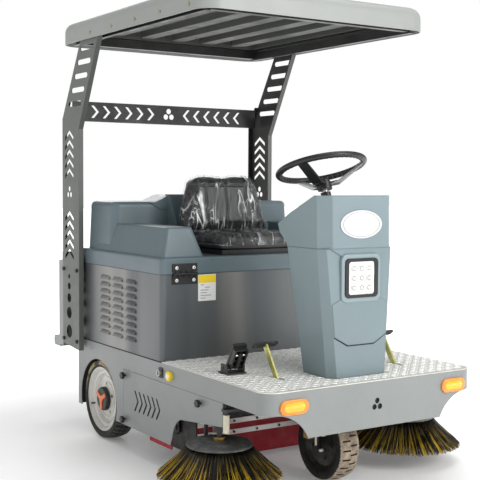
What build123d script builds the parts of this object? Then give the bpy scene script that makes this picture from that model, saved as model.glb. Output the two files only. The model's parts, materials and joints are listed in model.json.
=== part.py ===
"""Ride-on sweeper with a canopy roof, one named part per physical piece.

Millimetres. +X is forward, +Y is the driver's left, +Z is up. The origin is the centre of the
footprint on the floor. Parts that come in a right and a left hand are built on the right (-Y) side
and mirrored across the XZ plane.
"""
import os

from build123d import *

os.makedirs("parts", exist_ok=True)

# ------------------------------------------------------------------ driving dimensions
FRONT = 920.0            # front face of the apron
HALF_WIDTH = 520.0       # outer face of the body side
SHEET = 3.0              # body sheet thickness
DECK_TOP = 461.0         # standing surface
DECK_REAR = 138.0        # front face of the cabinet
BODY_REAR = -667.0       # rear face of the cabinet and the side panels
CORNER = 65.0            # plan radius of the apron corners
SKIRT_LOW = 375.0        # lower edge of the skirt along the sides
APRON_LOW = 278.0        # lower edge of the apron in the middle
PANEL_LOW = 122.0        # lower edge of the side panels
CABINET_TOP = 829.0      # parting line between cabinet and cover
RIM_TOP = 899.0          # top of the cover's straight rim

REAR_WHEEL = (-485.0, 459.0, 188.0)   # centre, right wheel at negative Y
REAR_TYRE_R = 188.0
REAR_TYRE_W = 98.0
REAR_RIM_R = 152.0
FRONT_WHEEL_X = 615.0
FRONT_TYRE_R = 150.0
FRONT_TYRE_W = 104.0
FRONT_RIM_R = 102.0
AXLE_FIT = 0.05          # radial clearance of every turning fit

MAIN_BRUSH = (10.0, 136.0)            # X and Z of the roller brush axis
MAIN_BRUSH_R = 131.0
SIDE_BRUSH = (540.0, 480.0)           # X and |Y| of the disc brush spindle
SIDE_BRUSH_R = 250.0                  # bristle tips
SIDE_BRUSH_TIP_Z = 68.0               # raised (parked) height
SIDE_DISC_R = 130.0
SIDE_DISC_Z = 190.0
LIFT_ROD = (330.0, 415.0)             # X and |Y| of the guide rod of the brush carrier

WHEEL_HUB = (550.0, 0.0, 1280.0)      # centre of the steering wheel rim
WHEEL_TILT = 17.5                     # steering axis, degrees from vertical
WHEEL_RING_R = 177.5
WHEEL_TUBE_R = 12.5
WHEEL_DISH = 72.0                     # hub below the rim plane

LEVER = (690.0, 302.0, 430.0)         # pivot of the right brush lift lever (|Y|)
PEDAL_PIVOT = (512.0, -402.0, 488.0)
POST_Y = 560.0                        # outer face of the canopy posts
POST_DEPTH = 24.0                     # flange depth of the channel
ROOF_LOW = 1880.0
ROOF_HALF = 572.0
ROOF_X = (-812.0, 566.0)

ALONG_MINUS_Y = Plane(origin=(0, 0, 0), x_dir=(1, 0, 0), z_dir=(0, -1, 0))


def save(builder, name):
    """Label one finished part and write its STEP file."""
    builder.part.label = name
    export_step(builder.part, f"parts/{name}.step")


def side_plane(distance):
    """Plane parallel to XZ at Y = -distance, drawn as seen from the right side, X to the right."""
    return ALONG_MINUS_Y.offset(distance)


def front_plane(x):
    """Plane across the vehicle at X = x; local X runs along +Y and local Y along +Z."""
    return Plane(origin=(x, 0, 0), x_dir=(0, 1, 0), z_dir=(1, 0, 0))


def chevron(half_height, depth, stroke):
    """Draw one arrow-shaped slot, pointing along local +X, in the sketch being built."""
    Polygon(
        (-depth / 2, half_height),
        (-depth / 2 + stroke, half_height),
        (depth / 2 + stroke / 2, 0),
        (-depth / 2 + stroke, -half_height),
        (-depth / 2, -half_height),
        (depth / 2 - stroke / 2, 0),
        align=None,
    )


def three_hole_emblem(radius):
    """Draw three round holes inside a circle of the given radius in the sketch being built."""
    with PolarLocations(radius * 0.56, 3, start_angle=90):
        Circle(radius * 0.40)


def mirrored(builder, name):
    """Build and save the left-hand copy of a right-hand part."""
    with BuildPart() as left:
        mirror(builder.part, about=Plane.XZ)
    save(left, name)
    return left


# ------------------------------------------------------------------ chassis
RAIL_Y = 368.0
RAIL_LOW = 405.0
RAIL_TOP = 451.0
with BuildPart() as chassis_frame:
    for side in (-1, 1):
        with Locations((-25, side * RAIL_Y, (RAIL_LOW + RAIL_TOP) / 2)):
            Box(1570, 36, RAIL_TOP - RAIL_LOW)
        # axle hangers
        with Locations((REAR_WHEEL[0], side * 381, (140 + RAIL_LOW + 5) / 2)):
            Box(92, 8, RAIL_LOW + 5 - 140)
        # guide rod of the side brush carrier and the arm that holds it
        with Locations((LIFT_ROD[0], side * 398, 425)):
            Box(50, 60, 30)
        with Locations((LIFT_ROD[0], side * LIFT_ROD[1], 425)):
            Cylinder(9, 290, align=(Align.CENTER, Align.CENTER, Align.MAX))
        # lever bracket lug, two plates either side of the lever
        for plate in (-7, 7):
            with Locations((LEVER[0], side * (LEVER[1] + plate), 425)):
                Box(34, 4, 50)
        with Locations((LEVER[0] - 16, side * 335, 425)):
            Box(30, 52, 24, align=(Align.CENTER, Align.CENTER, Align.MAX))
        with Locations(Location((LEVER[0], side * LEVER[1], LEVER[2]), (90, 0, 0))):
            Cylinder(6 - AXLE_FIT, 16)
        # wall guide roller bar in front of the side brush
        with Locations((645, side * (RAIL_Y + 15), 378)):
            Box(30, 10, 70)
        with Locations((645, side * 454, 350)):
            Box(30, 148, 12)
        with Locations((645, side * 515, 298)):
            Cylinder(12.5, 70)
        with Locations((645, side * 515, 339)):
            Cylinder(6, 30)
    # cross members
    for x in (BODY_REAR + 18, -190, 196, 737):
        with Locations((x, 0, (RAIL_LOW + RAIL_TOP) / 2)):
            Box(36, 2 * RAIL_Y, RAIL_TOP - RAIL_LOW)
    # cabinet floor
    with Locations(((BODY_REAR + DECK_REAR) / 2, 0, 453.5)):
        Box(DECK_REAR - BODY_REAR - 4, 1028, 5)
    # steering head
    with Locations((FRONT_WHEEL_X + 35, 0, 420)):
        Box(180, 110, 62)
    with Locations((FRONT_WHEEL_X, 0, 420)):
        Cylinder(20 + AXLE_FIT, 80, mode=Mode.SUBTRACT)
    # axle seats
    with Locations((REAR_WHEEL[0], 0, REAR_WHEEL[2])):
        Cylinder(30.0, 2000, rotation=(90, 0, 0), mode=Mode.SUBTRACT)
    # roller brush hangers
    for side in (-1, 1):
        with Locations((MAIN_BRUSH[0], side * 376.5, 262)):
            Box(60, 5, 290)
        with Locations((MAIN_BRUSH[0], side * 376.5, MAIN_BRUSH[1])):
            Cylinder(14 + AXLE_FIT, 30, rotation=(90, 0, 0), mode=Mode.SUBTRACT)
save(chassis_frame, "chassis_frame")

with BuildPart() as deck_plate:
    with BuildSketch(Plane.XY.offset(DECK_TOP - 4)) as deck_outline:
        with Locations(((DECK_REAR + FRONT) / 2 + 0.4, 0)):
            Rectangle(FRONT - DECK_REAR - 1.8, 2 * HALF_WIDTH - 1)
        front_corners = deck_outline.vertices().group_by(Axis.X)[-1]
        fillet(front_corners, CORNER - 1)
        for side in (-1, 1):
            with Locations((682, side * LEVER[1])):
                SlotOverall(84, 13, mode=Mode.SUBTRACT)
    extrude(amount=4)
    fillet(deck_plate.faces().sort_by(Axis.Z)[-1].outer_wire().edges(), 1.2)
save(deck_plate, "deck_plate")

with BuildPart() as front_apron:
    with BuildSketch(Plane.XY.offset(APRON_LOW)) as apron_outline:
        with Locations(((DECK_REAR + FRONT) / 2, 0)):
            Rectangle(FRONT - DECK_REAR, 2 * HALF_WIDTH)
        fillet(apron_outline.vertices().group_by(Axis.X)[-1], CORNER)
    extrude(amount=DECK_TOP - 4.5 - APRON_LOW)
    with BuildSketch(Plane.XY.offset(APRON_LOW)) as apron_inside:
        with Locations(((DECK_REAR + FRONT) / 2 - SHEET, 0)):
            Rectangle(FRONT - DECK_REAR, 2 * (HALF_WIDTH - SHEET))
        fillet(apron_inside.vertices().group_by(Axis.X)[-1], CORNER - SHEET)
    extrude(amount=DECK_TOP - 4.5 - APRON_LOW, mode=Mode.SUBTRACT)
    # sides end at the skirt line, the front keeps a deep centre with two concave shoulders
    with Locations((400, 0, APRON_LOW)):
        Box(900, 1100, SKIRT_LOW - APRON_LOW, align=(Align.CENTER, Align.CENTER, Align.MIN), mode=Mode.SUBTRACT)
    for side in (-1, 1):
        with BuildSketch(front_plane(840)) as shoulder:
            with BuildLine():
                ThreePointArc((side * 330, 277.9), (side * 383, 343), (side * 498, SKIRT_LOW))
                Line((side * 498, SKIRT_LOW), (side * 530, SKIRT_LOW))
                Line((side * 530, SKIRT_LOW), (side * 530, 277.9))
                Line((side * 530, 277.9), (side * 330, 277.9))
            make_face()
        extrude(amount=100, mode=Mode.SUBTRACT)
    with BuildSketch(front_plane(FRONT - 10)) as emblem_cut:
        with Locations((0, 366)):
            three_hole_emblem(28)
    extrude(amount=20, mode=Mode.SUBTRACT)
    for side in (-1, 1):
        with BuildSketch(front_plane(FRONT - 10)) as lamp_cut:
            with Locations((side * 398, 402)):
                SlotOverall(118, 46)
        extrude(amount=20, mode=Mode.SUBTRACT)
save(front_apron, "front_apron")

with BuildPart() as signal_lamps:
    # amber turn lamps in the apron
    for side in (-1, 1):
        with BuildSketch(front_plane(FRONT + 0.1)):
            with Locations((side * 398, 402)):
                SlotOverall(128, 56)
        extrude(amount=9)
    fillet(signal_lamps.faces().group_by(Axis.X)[-1].edges(), 3)
    for side in (-1, 1):
        with BuildSketch(front_plane(FRONT - 12)):
            with Locations((side * 398, 402)):
                SlotOverall(116, 44)
        extrude(amount=12.2)
    # tail lamps on the rear bumper
    for side in (-1, 1):
        with BuildSketch(front_plane(-873)):
            with Locations((side * 500, 562)):
                RectangleRounded(104, 60, 12)
        extrude(amount=9.8)
save(signal_lamps, "signal_lamps")

PANEL_REAR = -712.0                    # rear edge of the side panels
ARCH = (-485.0, 184.0, 195.0)
with BuildPart() as side_panel_right:
    with BuildSketch(side_plane(HALF_WIDTH - SHEET)) as panel_outline:
        with BuildLine():
            Polyline(
                (PANEL_REAR, 130),
                (PANEL_REAR, DECK_TOP - 5),
                (DECK_REAR - 0.5, DECK_TOP - 5),
                (DECK_REAR - 0.5, SKIRT_LOW + 0.5),
                (-222, SKIRT_LOW + 0.5),
                (-222, PANEL_LOW),
                (ARCH[0], PANEL_LOW),
                (ARCH[0], 130),
                (PANEL_REAR, 130),
            )
        make_face()
        with Locations((ARCH[0], ARCH[1])):
            Circle(ARCH[2], mode=Mode.SUBTRACT)
    extrude(amount=SHEET)
save(side_panel_right, "side_panel_right")
side_panel_left = mirrored(side_panel_right, "side_panel_left")

with BuildPart() as side_door_right:
    with BuildSketch(side_plane(HALF_WIDTH - SHEET)) as door_outline:
        with BuildLine():
            Polyline(
                (-220.5, PANEL_LOW),
                (-220.5, SKIRT_LOW - 1),
                (626, SKIRT_LOW - 1),
                (626, 282),
                (300, 246),
            )
            Spline((300, 246), (262, 220), (233, 162))
            Polyline((233, 162), (216, 124), (214, PANEL_LOW), (-220.5, PANEL_LOW))
        make_face()
    extrude(amount=SHEET)
    # arrow-shaped vent slots, cut through the sheet
    for index in range(6):
        with BuildSketch(side_plane(HALF_WIDTH - 10)):
            with Locations((-96 + 40 * index, 250)):
                chevron(45, 36, 13)
        extrude(amount=20, mode=Mode.SUBTRACT)
    # folded stiffening lips inside
    with Locations((-219, -513.6, 248)):
        Box(3, 7, 230)
    # three hand knobs with their clamping studs
    for x, z in ((-203, 349), (-205, 149), (461, 345)):
        with BuildSketch(side_plane(HALF_WIDTH)):
            with Locations((x, z)):
                Circle(5)
        extrude(amount=9)
        with BuildSketch(side_plane(HALF_WIDTH + 9)):
            with Locations((x, z)):
                Circle(12.5)
                with PolarLocations(11.5, 6):
                    Circle(4.4)
        extrude(amount=13)
        with BuildSketch(side_plane(HALF_WIDTH - 10)):
            with Locations((x, z)):
                Circle(3.4)
        extrude(amount=8)
save(side_door_right, "side_door_right")
side_door_left = mirrored(side_door_right, "side_door_left")

with BuildPart() as charge_socket:
    with BuildSketch(side_plane(HALF_WIDTH + 0.1)):
        with Locations((136, 415)):
            RectangleRounded(36, 44, 6)
    extrude(amount=3)
    with BuildSketch(side_plane(HALF_WIDTH + 3)):
        with Locations((136, 415)):
            Circle(13)
    extrude(amount=14)
    with BuildSketch(side_plane(HALF_WIDTH + 3)):
        with Locations((136, 415)):
            Circle(9)
            Circle(3, mode=Mode.SUBTRACT)
    extrude(amount=14, mode=Mode.SUBTRACT)
save(charge_socket, "charge_socket")

# ------------------------------------------------------------------ cabinet
CABINET_LOW = DECK_TOP - 4.6
CABINET_R = 20.0


def cabinet_outline(inset):
    """Plan outline of the cabinet and its cover: large front corners, small rear corners."""
    with Locations(((BODY_REAR + DECK_REAR) / 2, 0)):
        outline = Rectangle(DECK_REAR - BODY_REAR - 2 * inset, 2 * (HALF_WIDTH - inset))
    return outline


with BuildPart() as cabinet_shell:
    with BuildSketch(Plane.XY.offset(CABINET_LOW)) as cabinet_out:
        cabinet_outline(0)
        fillet(cabinet_out.vertices().group_by(Axis.X)[-1], CABINET_R)
        fillet(cabinet_out.vertices().group_by(Axis.X)[0], 12)
    extrude(amount=CABINET_TOP - 0.6 - CABINET_LOW)
    with BuildSketch(Plane.XY.offset(CABINET_LOW)) as cabinet_in:
        cabinet_outline(SHEET)
        fillet(cabinet_in.vertices().group_by(Axis.X)[-1], CABINET_R - SHEET)
        fillet(cabinet_in.vertices().group_by(Axis.X)[0], 9)
    extrude(amount=CABINET_TOP - 0.6 - CABINET_LOW, mode=Mode.SUBTRACT)
    # inward flange the cover lands on
    with BuildSketch(Plane.XY.offset(CABINET_TOP - 3.6)) as flange:
        cabinet_outline(1)
        fillet(flange.vertices().group_by(Axis.X)[-1], CABINET_R - 1)
        fillet(flange.vertices().group_by(Axis.X)[0], 11)
        with Locations(((BODY_REAR + DECK_REAR) / 2, 0)):
            Rectangle(DECK_REAR - BODY_REAR - 70, 2 * HALF_WIDTH - 70, mode=Mode.SUBTRACT)
    extrude(amount=3)
    # three columns of pressed louvres on both sides
    for side in (-1, 1):
        for column_x in (-404, -274, -142):
            for row in range(9):
                z = 512 + 32 * row
                with Locations((column_x, side * HALF_WIDTH, z + 5)):
                    Box(84, 20, 7, mode=Mode.SUBTRACT)
                with BuildSketch(Plane(origin=(column_x - 46, 0, 0), x_dir=(0, 1, 0), z_dir=(1, 0, 0))):
                    with BuildLine():
                        Polyline(
                            (side * (HALF_WIDTH - SHEET), z + 18),
                            (side * HALF_WIDTH, z + 18),
                            (side * (HALF_WIDTH + 7), z + 2),
                            (side * (HALF_WIDTH + 6), z - 1),
                            (side * (HALF_WIDTH - SHEET), z + 14),
                            (side * (HALF_WIDTH - SHEET), z + 18),
                        )
                    make_face()
                extrude(amount=92)
save(cabinet_shell, "cabinet_shell")

with BuildPart() as battery_pack:
    with Locations((-320, 0, 457)):
        with GridLocations(190, 250, 2, 2):
            Box(180, 240, 210, align=(Align.CENTER, Align.CENTER, Align.MIN))
    with Locations((-320, 0, 667)):
        with GridLocations(190, 250, 2, 2):
            with GridLocations(120, 170, 2, 2):
                Cylinder(9, 14, align=(Align.CENTER, Align.CENTER, Align.MIN))
save(battery_pack, "battery_pack")

# ------------------------------------------------------------------ rear bumper and canopy posts
with BuildPart() as rear_bumper:
    # arms reaching back from the chassis rails, a folded plate and a rolled lower rail
    for side in (-1, 1):
        with Locations((-837, side * RAIL_Y, 428)):
            Box(52, 30, 40)
    with Locations((-838, 0, 617)):
        Box(50, 1116, 424)
    with Locations((-838, 0, 615)):
        Box(44, 1100, 414, mode=Mode.SUBTRACT)
    with Locations((-826, 0, 775)):
        Box(26, 1100, 192)
    with Locations((-829, 0, 775)):
        Box(26, 1090, 186, mode=Mode.SUBTRACT)
    with Locations((-889.5, 0, 420)):
        Box(79, 1116, 50)
    lower_rail = rear_bumper.edges().filter_by(Axis.Y).group_by(Axis.X)[0]
    fillet(lower_rail, 18)
    # louvre-free grille slots through the rear plate
    for z in (520, 560, 600, 640):
        with Locations((-863, 0, z)):
            Box(20, 420, 14, mode=Mode.SUBTRACT)
save(rear_bumper, "rear_bumper")

POST_LOW_X = (-809.0, -616.0)
POST_KINK_Z = 1497.0
POST_TOP_Z = 1915.0
POST_LEAN = 233.6


def post_outline(inset, low_extra):
    """Side outline of one post: straight below the kink, leaning forward above it."""
    Polygon(
        (POST_LOW_X[0] + inset, 421 - low_extra),
        (POST_LOW_X[1] - inset, 405 - low_extra),
        (POST_LOW_X[1] - inset, POST_KINK_Z - 27),
        (POST_LOW_X[1] + POST_LEAN - inset, POST_TOP_Z + low_extra),
        (POST_LOW_X[0] + POST_LEAN + inset, POST_TOP_Z + low_extra),
        (POST_LOW_X[0] + inset, POST_KINK_Z + 27),
        align=None,
    )


with BuildPart() as post_right:
    with BuildSketch(side_plane(POST_Y - POST_DEPTH)):
        post_outline(0, 0)
    extrude(amount=POST_DEPTH)
    with BuildSketch(side_plane(POST_Y - POST_DEPTH)):
        post_outline(SHEET, 20)
    extrude(amount=POST_DEPTH - SHEET, mode=Mode.SUBTRACT)
    middle_x = (POST_LOW_X[0] + POST_LOW_X[1]) / 2
    # five slots in the leaning part
    for index in range(5):
        slot_z = 1846 - 63.5 * index
        slot_x = middle_x + POST_LEAN * (slot_z - POST_KINK_Z) / (POST_TOP_Z - POST_KINK_Z)
        with BuildSketch(side_plane(POST_Y - 10)):
            with Locations((slot_x, slot_z)):
                SlotOverall(145, 24)
        extrude(amount=20, mode=Mode.SUBTRACT)
    # two runs of arrows pointing up
    for run_low in (1232, 840):
        for index in range(5):
            with BuildSketch(side_plane(POST_Y - 10)):
                with Locations(Location((middle_x - 16, run_low + 46 * index + 22, 0), (0, 0, 90))):
                    chevron(50, 44, 19)
            extrude(amount=20, mode=Mode.SUBTRACT)
    with BuildSketch(side_plane(POST_Y - 10)):
        with Locations((middle_x - 16, 1165)):
            three_hole_emblem(34)
    extrude(amount=20, mode=Mode.SUBTRACT)
    # holes growing towards the foot
    for z, diameter in ((756, 22), (708, 34), (650, 45), (577, 56), (485, 64)):
        with BuildSketch(side_plane(POST_Y - 10)):
            with Locations((middle_x - 20, z)):
                Circle(diameter / 2)
        extrude(amount=20, mode=Mode.SUBTRACT)
save(post_right, "post_right")
post_left = mirrored(post_right, "post_left")

BAR_X = -758.0
with BuildPart() as cross_bar:
    with Locations((BAR_X, 0, 1564)):
        Box(30, 2 * (POST_Y - POST_DEPTH) - 1, 96)
    with Locations((BAR_X - SHEET, 0, 1564)):
        Box(30, 2 * (POST_Y - POST_DEPTH) - 1, 90, mode=Mode.SUBTRACT)
    # end tongues that bolt to the flanges
    for index in range(6):
        for side in (-1, 1):
            with BuildSketch(front_plane(BAR_X - 5)):
                turn = 0 if side < 0 else 180
                with Locations(Location((side * (108 + 62 * index), 1564, 0), (0, 0, turn))):
                    chevron(30, 34, 15)
            extrude(amount=40, mode=Mode.SUBTRACT)
    with BuildSketch(front_plane(BAR_X - 5)):
        with Locations((0, 1564)):
            three_hole_emblem(34)
    extrude(amount=40, mode=Mode.SUBTRACT)
save(cross_bar, "cross_bar")

# ------------------------------------------------------------------ roof
ROOF_MID = (ROOF_X[0] + ROOF_X[1]) / 2
ROOF_LEN = ROOF_X[1] - ROOF_X[0]
with BuildPart() as roof_shell:
    with BuildSketch(Plane.XY.offset(ROOF_LOW)) as roof_plan:
        with Locations((ROOF_MID, 0)):
            RectangleRounded(ROOF_LEN, 2 * ROOF_HALF, 88)
    extrude(amount=104)
    fillet(roof_shell.faces().sort_by(Axis.Z)[-1].outer_wire().edges(), 50)
    # shallow crown
    with BuildSketch(Plane.XY.offset(ROOF_LOW + 103.5)):
        with Locations((ROOF_MID, 0)):
            RectangleRounded(ROOF_LEN - 112, 2 * ROOF_HALF - 112, 50)
    with BuildSketch(Plane.XY.offset(ROOF_LOW + 128)):
        with Locations((ROOF_MID, 0)):
            RectangleRounded(ROOF_LEN - 300, 2 * ROOF_HALF - 300, 50)
    loft()
    # hollow underside
    with BuildSketch(Plane.XY.offset(ROOF_LOW)):
        with Locations((ROOF_MID, 0)):
            RectangleRounded(ROOF_LEN - 8, 2 * ROOF_HALF - 8, 84)
    extrude(amount=48, mode=Mode.SUBTRACT)
    with BuildSketch(Plane.XY.offset(ROOF_LOW + 47)):
        with Locations((ROOF_MID, 0)):
            RectangleRounded(ROOF_LEN - 70, 2 * ROOF_HALF - 70, 60)
    extrude(amount=42, mode=Mode.SUBTRACT)
    # long drainage grooves with round ends
    for y in (-430, -215, 0, 215, 430):
        with BuildSketch(Plane.XY.offset(ROOF_LOW + 160)):
            with Locations((ROOF_MID, y)):
                SlotOverall(ROOF_LEN - 250, 88)
        reach = 49 if abs(y) > 300 else 44
        extrude(amount=-reach, mode=Mode.SUBTRACT)
save(roof_shell, "roof_shell")

with BuildPart() as roof_liner:
    with BuildSketch(Plane.XY.offset(ROOF_LOW + 50)):
        with Locations((ROOF_MID, 0)):
            RectangleRounded(ROOF_LEN - 84, 2 * ROOF_HALF - 84, 52)
    extrude(amount=36)
    with BuildSketch(Plane.XY.offset(ROOF_LOW + 50)):
        with Locations((ROOF_MID, 0)):
            RectangleRounded(ROOF_LEN - 200, 2 * ROOF_HALF - 200, 40)
    extrude(amount=30, mode=Mode.SUBTRACT)
    # raised ribs with round ends
    for y in (-350, -175, 0, 175, 350):
        with BuildSketch(Plane.XY.offset(ROOF_LOW + 52)):
            with Locations((ROOF_MID, y)):
                SlotOverall(ROOF_LEN - 290, 70)
        extrude(amount=29)
save(roof_liner, "roof_liner")

with BuildPart() as roof_rails:
    for side in (-1, 1):
        with Locations((ROOF_MID + 6, side * 523, 1902.5)):
            Box(ROOF_LEN - 120, 24, 49)
        with Locations((ROOF_MID + 6, side * 526, 1902.5)):
            Box(ROOF_LEN - 120, 24, 43, mode=Mode.SUBTRACT)
        with Locations((ROOF_MID + 6, side * 513, 1923)):
            Box(ROOF_LEN - 120, 44, 6)
    for x in (ROOF_X[0] + 85, ROOF_X[1] - 75):
        with Locations((x, 0, 1905)):
            Box(30, 1026, 42)
save(roof_rails, "roof_rails")

with BuildPart() as canopy_fasteners:
    # screws along the roof skirt
    for side in (-1, 1):
        for x in (-458, -237, -8, 214, 450):
            with Locations(Location((x, side * (ROOF_HALF + 2.1), 1905), (90, 0, 0))):
                Cylinder(8, 4)
    # bolts at the feet of the posts
    for side in (-1, 1):
        for x in (-794, -640):
            for z in (790, 445):
                with Locations(Location((x, side * (POST_Y + 4), z), (90, 0, 0))):
                    Cylinder(9, 7.8)
save(canopy_fasteners, "canopy_fasteners")

# ------------------------------------------------------------------ steering column
def column_section(front_x, rear_x, front_half, side_half, shoulder):
    """Plan section of the column: flat front, chamfered front corners, straight rear."""
    Polygon(
        (front_x, -front_half),
        (front_x, front_half),
        (front_x - shoulder, side_half),
        (rear_x, side_half),
        (rear_x, -side_half),
        (front_x - shoulder, -side_half),
        align=None,
    )


with BuildPart() as column_shell:
    with BuildSketch(Plane.XY.offset(DECK_TOP + 0.2)):
        column_section(820, 640, 120, 147, 36)
    with BuildSketch(Plane.XY.offset(964.5)):
        column_section(800, 572, 162, 183, 34)
    loft(ruled=True)
    with BuildSketch(Plane.XY.offset(DECK_TOP + 0.1)):
        column_section(816, 644, 117, 143, 35)
    with BuildSketch(Plane.XY.offset(964.6)):
        column_section(796, 576, 159, 179, 33)
    loft(ruled=True, mode=Mode.SUBTRACT)
    # opening behind the work lamp
    with Locations((800, 0, 848)):
        Box(60, 150, 140, mode=Mode.SUBTRACT)
save(column_shell, "column_shell")

# local Z runs up the steering axis towards the driver
STEER = Plane(origin=WHEEL_HUB, x_dir=(0, 1, 0), z_dir=Vector(0, 0, 1).rotate(Axis.Y, -WHEEL_TILT))


def front_corner_edges(builder, half_width):
    """The two upright front edges of a hood-shaped body."""
    return builder.edges().filter_by(
        lambda e: e.length > 190 and e.center().X > 795 and abs(e.center().Y) > half_width - 5
    )


with BuildPart() as hood_core:
    with BuildSketch(side_plane(-179)):
        with BuildLine():
            Polyline(
                (807, 960),
                (801, 1165),
                (750, 1165),
                (692, 1139),
                (592, 1095),
                (512, 1052),
                (524, 1022),
                (570, 983),
                (578, 960),
                (807, 960),
            )
        make_face()
    extrude(amount=358)
    chamfer(front_corner_edges(hood_core, 179), 42)

with BuildPart() as column_hood:
    with BuildSketch(side_plane(-184)):
        with BuildLine():
            Polyline(
                (812, 965),
                (806, 1170),
                (748, 1170),
                (690, 1144),
                (590, 1100),
                (505, 1054),
                (520, 1018),
                (565, 980),
                (572, 965),
                (812, 965),
            )
        make_face()
    extrude(amount=368)
    chamfer(front_corner_edges(column_hood, 184), 44)
    fillet(column_hood.edges().filter_by(Axis.Y).group_by(Axis.Z)[-1], 6)
    add(hood_core.part, mode=Mode.SUBTRACT)
    # hole for the steering jacket collar
    with BuildSketch(STEER.offset(-120)):
        Circle(34.3)
    extrude(amount=-130, mode=Mode.SUBTRACT)
save(column_hood, "column_hood")

with BuildPart() as bezel_blank:
    with BuildSketch(front_plane(799)):
        with Locations((0, 848)):
            RectangleRounded(195, 190, 26)
            RectangleRounded(165, 154, 18, mode=Mode.SUBTRACT)
    extrude(amount=17)
    fillet(bezel_blank.faces().sort_by(Axis.X)[-1].outer_wire().edges(), 5)
    add(column_shell.part, mode=Mode.SUBTRACT)
with BuildPart() as lamp_bezel:
    # only the frame in front of the column face is kept
    add(bezel_blank.solids().sort_by(SortBy.VOLUME)[-1])
save(lamp_bezel, "lamp_bezel")

with BuildPart() as headlamp_body:
    with BuildSketch(front_plane(760)):
        with Locations((0, 848)):
            RectangleRounded(140, 130, 14)
    extrude(amount=49)
    with BuildSketch(front_plane(808.3)):
        with Locations((0, 848)):
            RectangleRounded(164, 153, 17)
    extrude(amount=11.7)
    with BuildSketch(front_plane(810)):
        with Locations((0, 848)):
            RectangleRounded(130, 130, 12)
    extrude(amount=12, mode=Mode.SUBTRACT)
save(headlamp_body, "headlamp_body")

with BuildPart() as headlamp_lens:
    with BuildSketch(front_plane(810.2)):
        with Locations((0, 848)):
            RectangleRounded(129.4, 129.4, 11.7)
    extrude(amount=6)
    # nine round emitters behind a clear cover
    with BuildSketch(front_plane(816)):
        with Locations((0, 848)):
            with GridLocations(38, 38, 3, 3):
                Circle(13)
    extrude(amount=3)
save(headlamp_lens, "headlamp_lens")

with BuildPart() as badge_plate:
    with BuildSketch(front_plane(807.6)):
        with Locations((0, 1058)):
            Ellipse(103, 55)
    extrude(amount=6)
    add(column_hood.part, mode=Mode.SUBTRACT)
save(badge_plate, "badge_plate")

# ------------------------------------------------------------------ steering wheel and shaft
with BuildPart() as wheel_flat:
    # rim
    with BuildSketch(Plane.XZ):
        with Locations((WHEEL_RING_R, 0)):
            Circle(WHEEL_TUBE_R)
    revolve(axis=Axis.Z)
    # dished spokes, each a flat bar rising from the hub to the rim
    for turn in (57, 177, 297):
        spoke_plane = Plane(origin=(0, 0, 0), x_dir=Vector(0, -1, 0).rotate(Axis.Z, turn),
                            z_dir=Vector(-1, 0, 0).rotate(Axis.Z, turn))
        with BuildSketch(spoke_plane.offset(-20)):
            with BuildLine():
                Polyline(
                    (18, -WHEEL_DISH + 4),
                    (60, -WHEEL_DISH + 8),
                    (WHEEL_RING_R - 2, -2),
                    (WHEEL_RING_R - 2, -9),
                    (64, -WHEEL_DISH - 4),
                    (18, -WHEEL_DISH - 6),
                    (18, -WHEEL_DISH + 4),
                )
            make_face()
        extrude(amount=40)
    # hub with horn cap
    with BuildSketch(Plane.XY.offset(-WHEEL_DISH - 22)):
        Circle(30)
    extrude(amount=30)
    with BuildSketch(Plane.XY.offset(-WHEEL_DISH + 8)):
        Circle(26)
    extrude(amount=10)
    with BuildSketch(Plane.XY.offset(-WHEEL_DISH - 23)):
        Circle(11)
    extrude(amount=24, mode=Mode.SUBTRACT)
with BuildPart() as steering_wheel:
    with Locations(STEER.location):
        add(wheel_flat.part)
save(steering_wheel, "steering_wheel")

with BuildPart() as steering_shaft:
    with BuildSketch(STEER.offset(-WHEEL_DISH + 0.5)):
        Circle(11)
    extrude(amount=-430)
save(steering_shaft, "steering_shaft")

with BuildPart() as steering_jacket:
    with BuildSketch(STEER.offset(-WHEEL_DISH - 34)):
        Circle(21)
    extrude(amount=-370)
    with BuildSketch(STEER.offset(-WHEEL_DISH - 100)):
        Circle(34)
    extrude(amount=-36)
    with BuildSketch(STEER.offset(-WHEEL_DISH - 390)):
        Circle(20)
    extrude(amount=-40)
    # bracket that carries the lower bearing inside the column
    with Locations((676, 0, 812)):
        Box(140, 60, 8)
    with BuildSketch(STEER.offset(-WHEEL_DISH - 20)):
        Circle(11 + AXLE_FIT)
    extrude(amount=-450, mode=Mode.SUBTRACT)
save(steering_jacket, "steering_jacket")

# ------------------------------------------------------------------ front fork and wheel
with BuildPart() as front_fork:
    with Locations((FRONT_WHEEL_X, 0, 352)):
        Cylinder(20, 95, align=(Align.CENTER, Align.CENTER, Align.MIN))
        Box(76, 156, 14)
    for side in (-1, 1):
        with Locations((FRONT_WHEEL_X, side * 71, 240)):
            Box(52, 12, 224)
        with Locations((FRONT_WHEEL_X, side * 71, FRONT_TYRE_R)):
            Cylinder(26, 12, rotation=(90, 0, 0))
    with Locations((FRONT_WHEEL_X, 0, FRONT_TYRE_R)):
        Cylinder(10, 176, rotation=(90, 0, 0))
    # sprocket for the steering chain
    with Locations((FRONT_WHEEL_X, 0, 366)):
        Cylinder(46, 8, align=(Align.CENTER, Align.CENTER, Align.MIN))
save(front_fork, "front_fork")


def tyre_section(radius, rim_radius, width, shoulder):
    """Half section of a tyre on the XZ plane: local X is the radius, local Y the width."""
    half = width / 2
    with BuildLine() as section:
        Polyline((rim_radius, -half * 0.78), (rim_radius, half * 0.78))
        ThreePointArc((rim_radius, half * 0.78), ((radius + rim_radius) / 2, half), (radius - shoulder, half * 0.93))
        ThreePointArc((radius - shoulder, half * 0.93), (radius, 0), (radius - shoulder, -half * 0.93))
        ThreePointArc(
            (radius - shoulder, -half * 0.93), ((radius + rim_radius) / 2, -half), (rim_radius, -half * 0.78)
        )
    make_face(section.edges())


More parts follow.
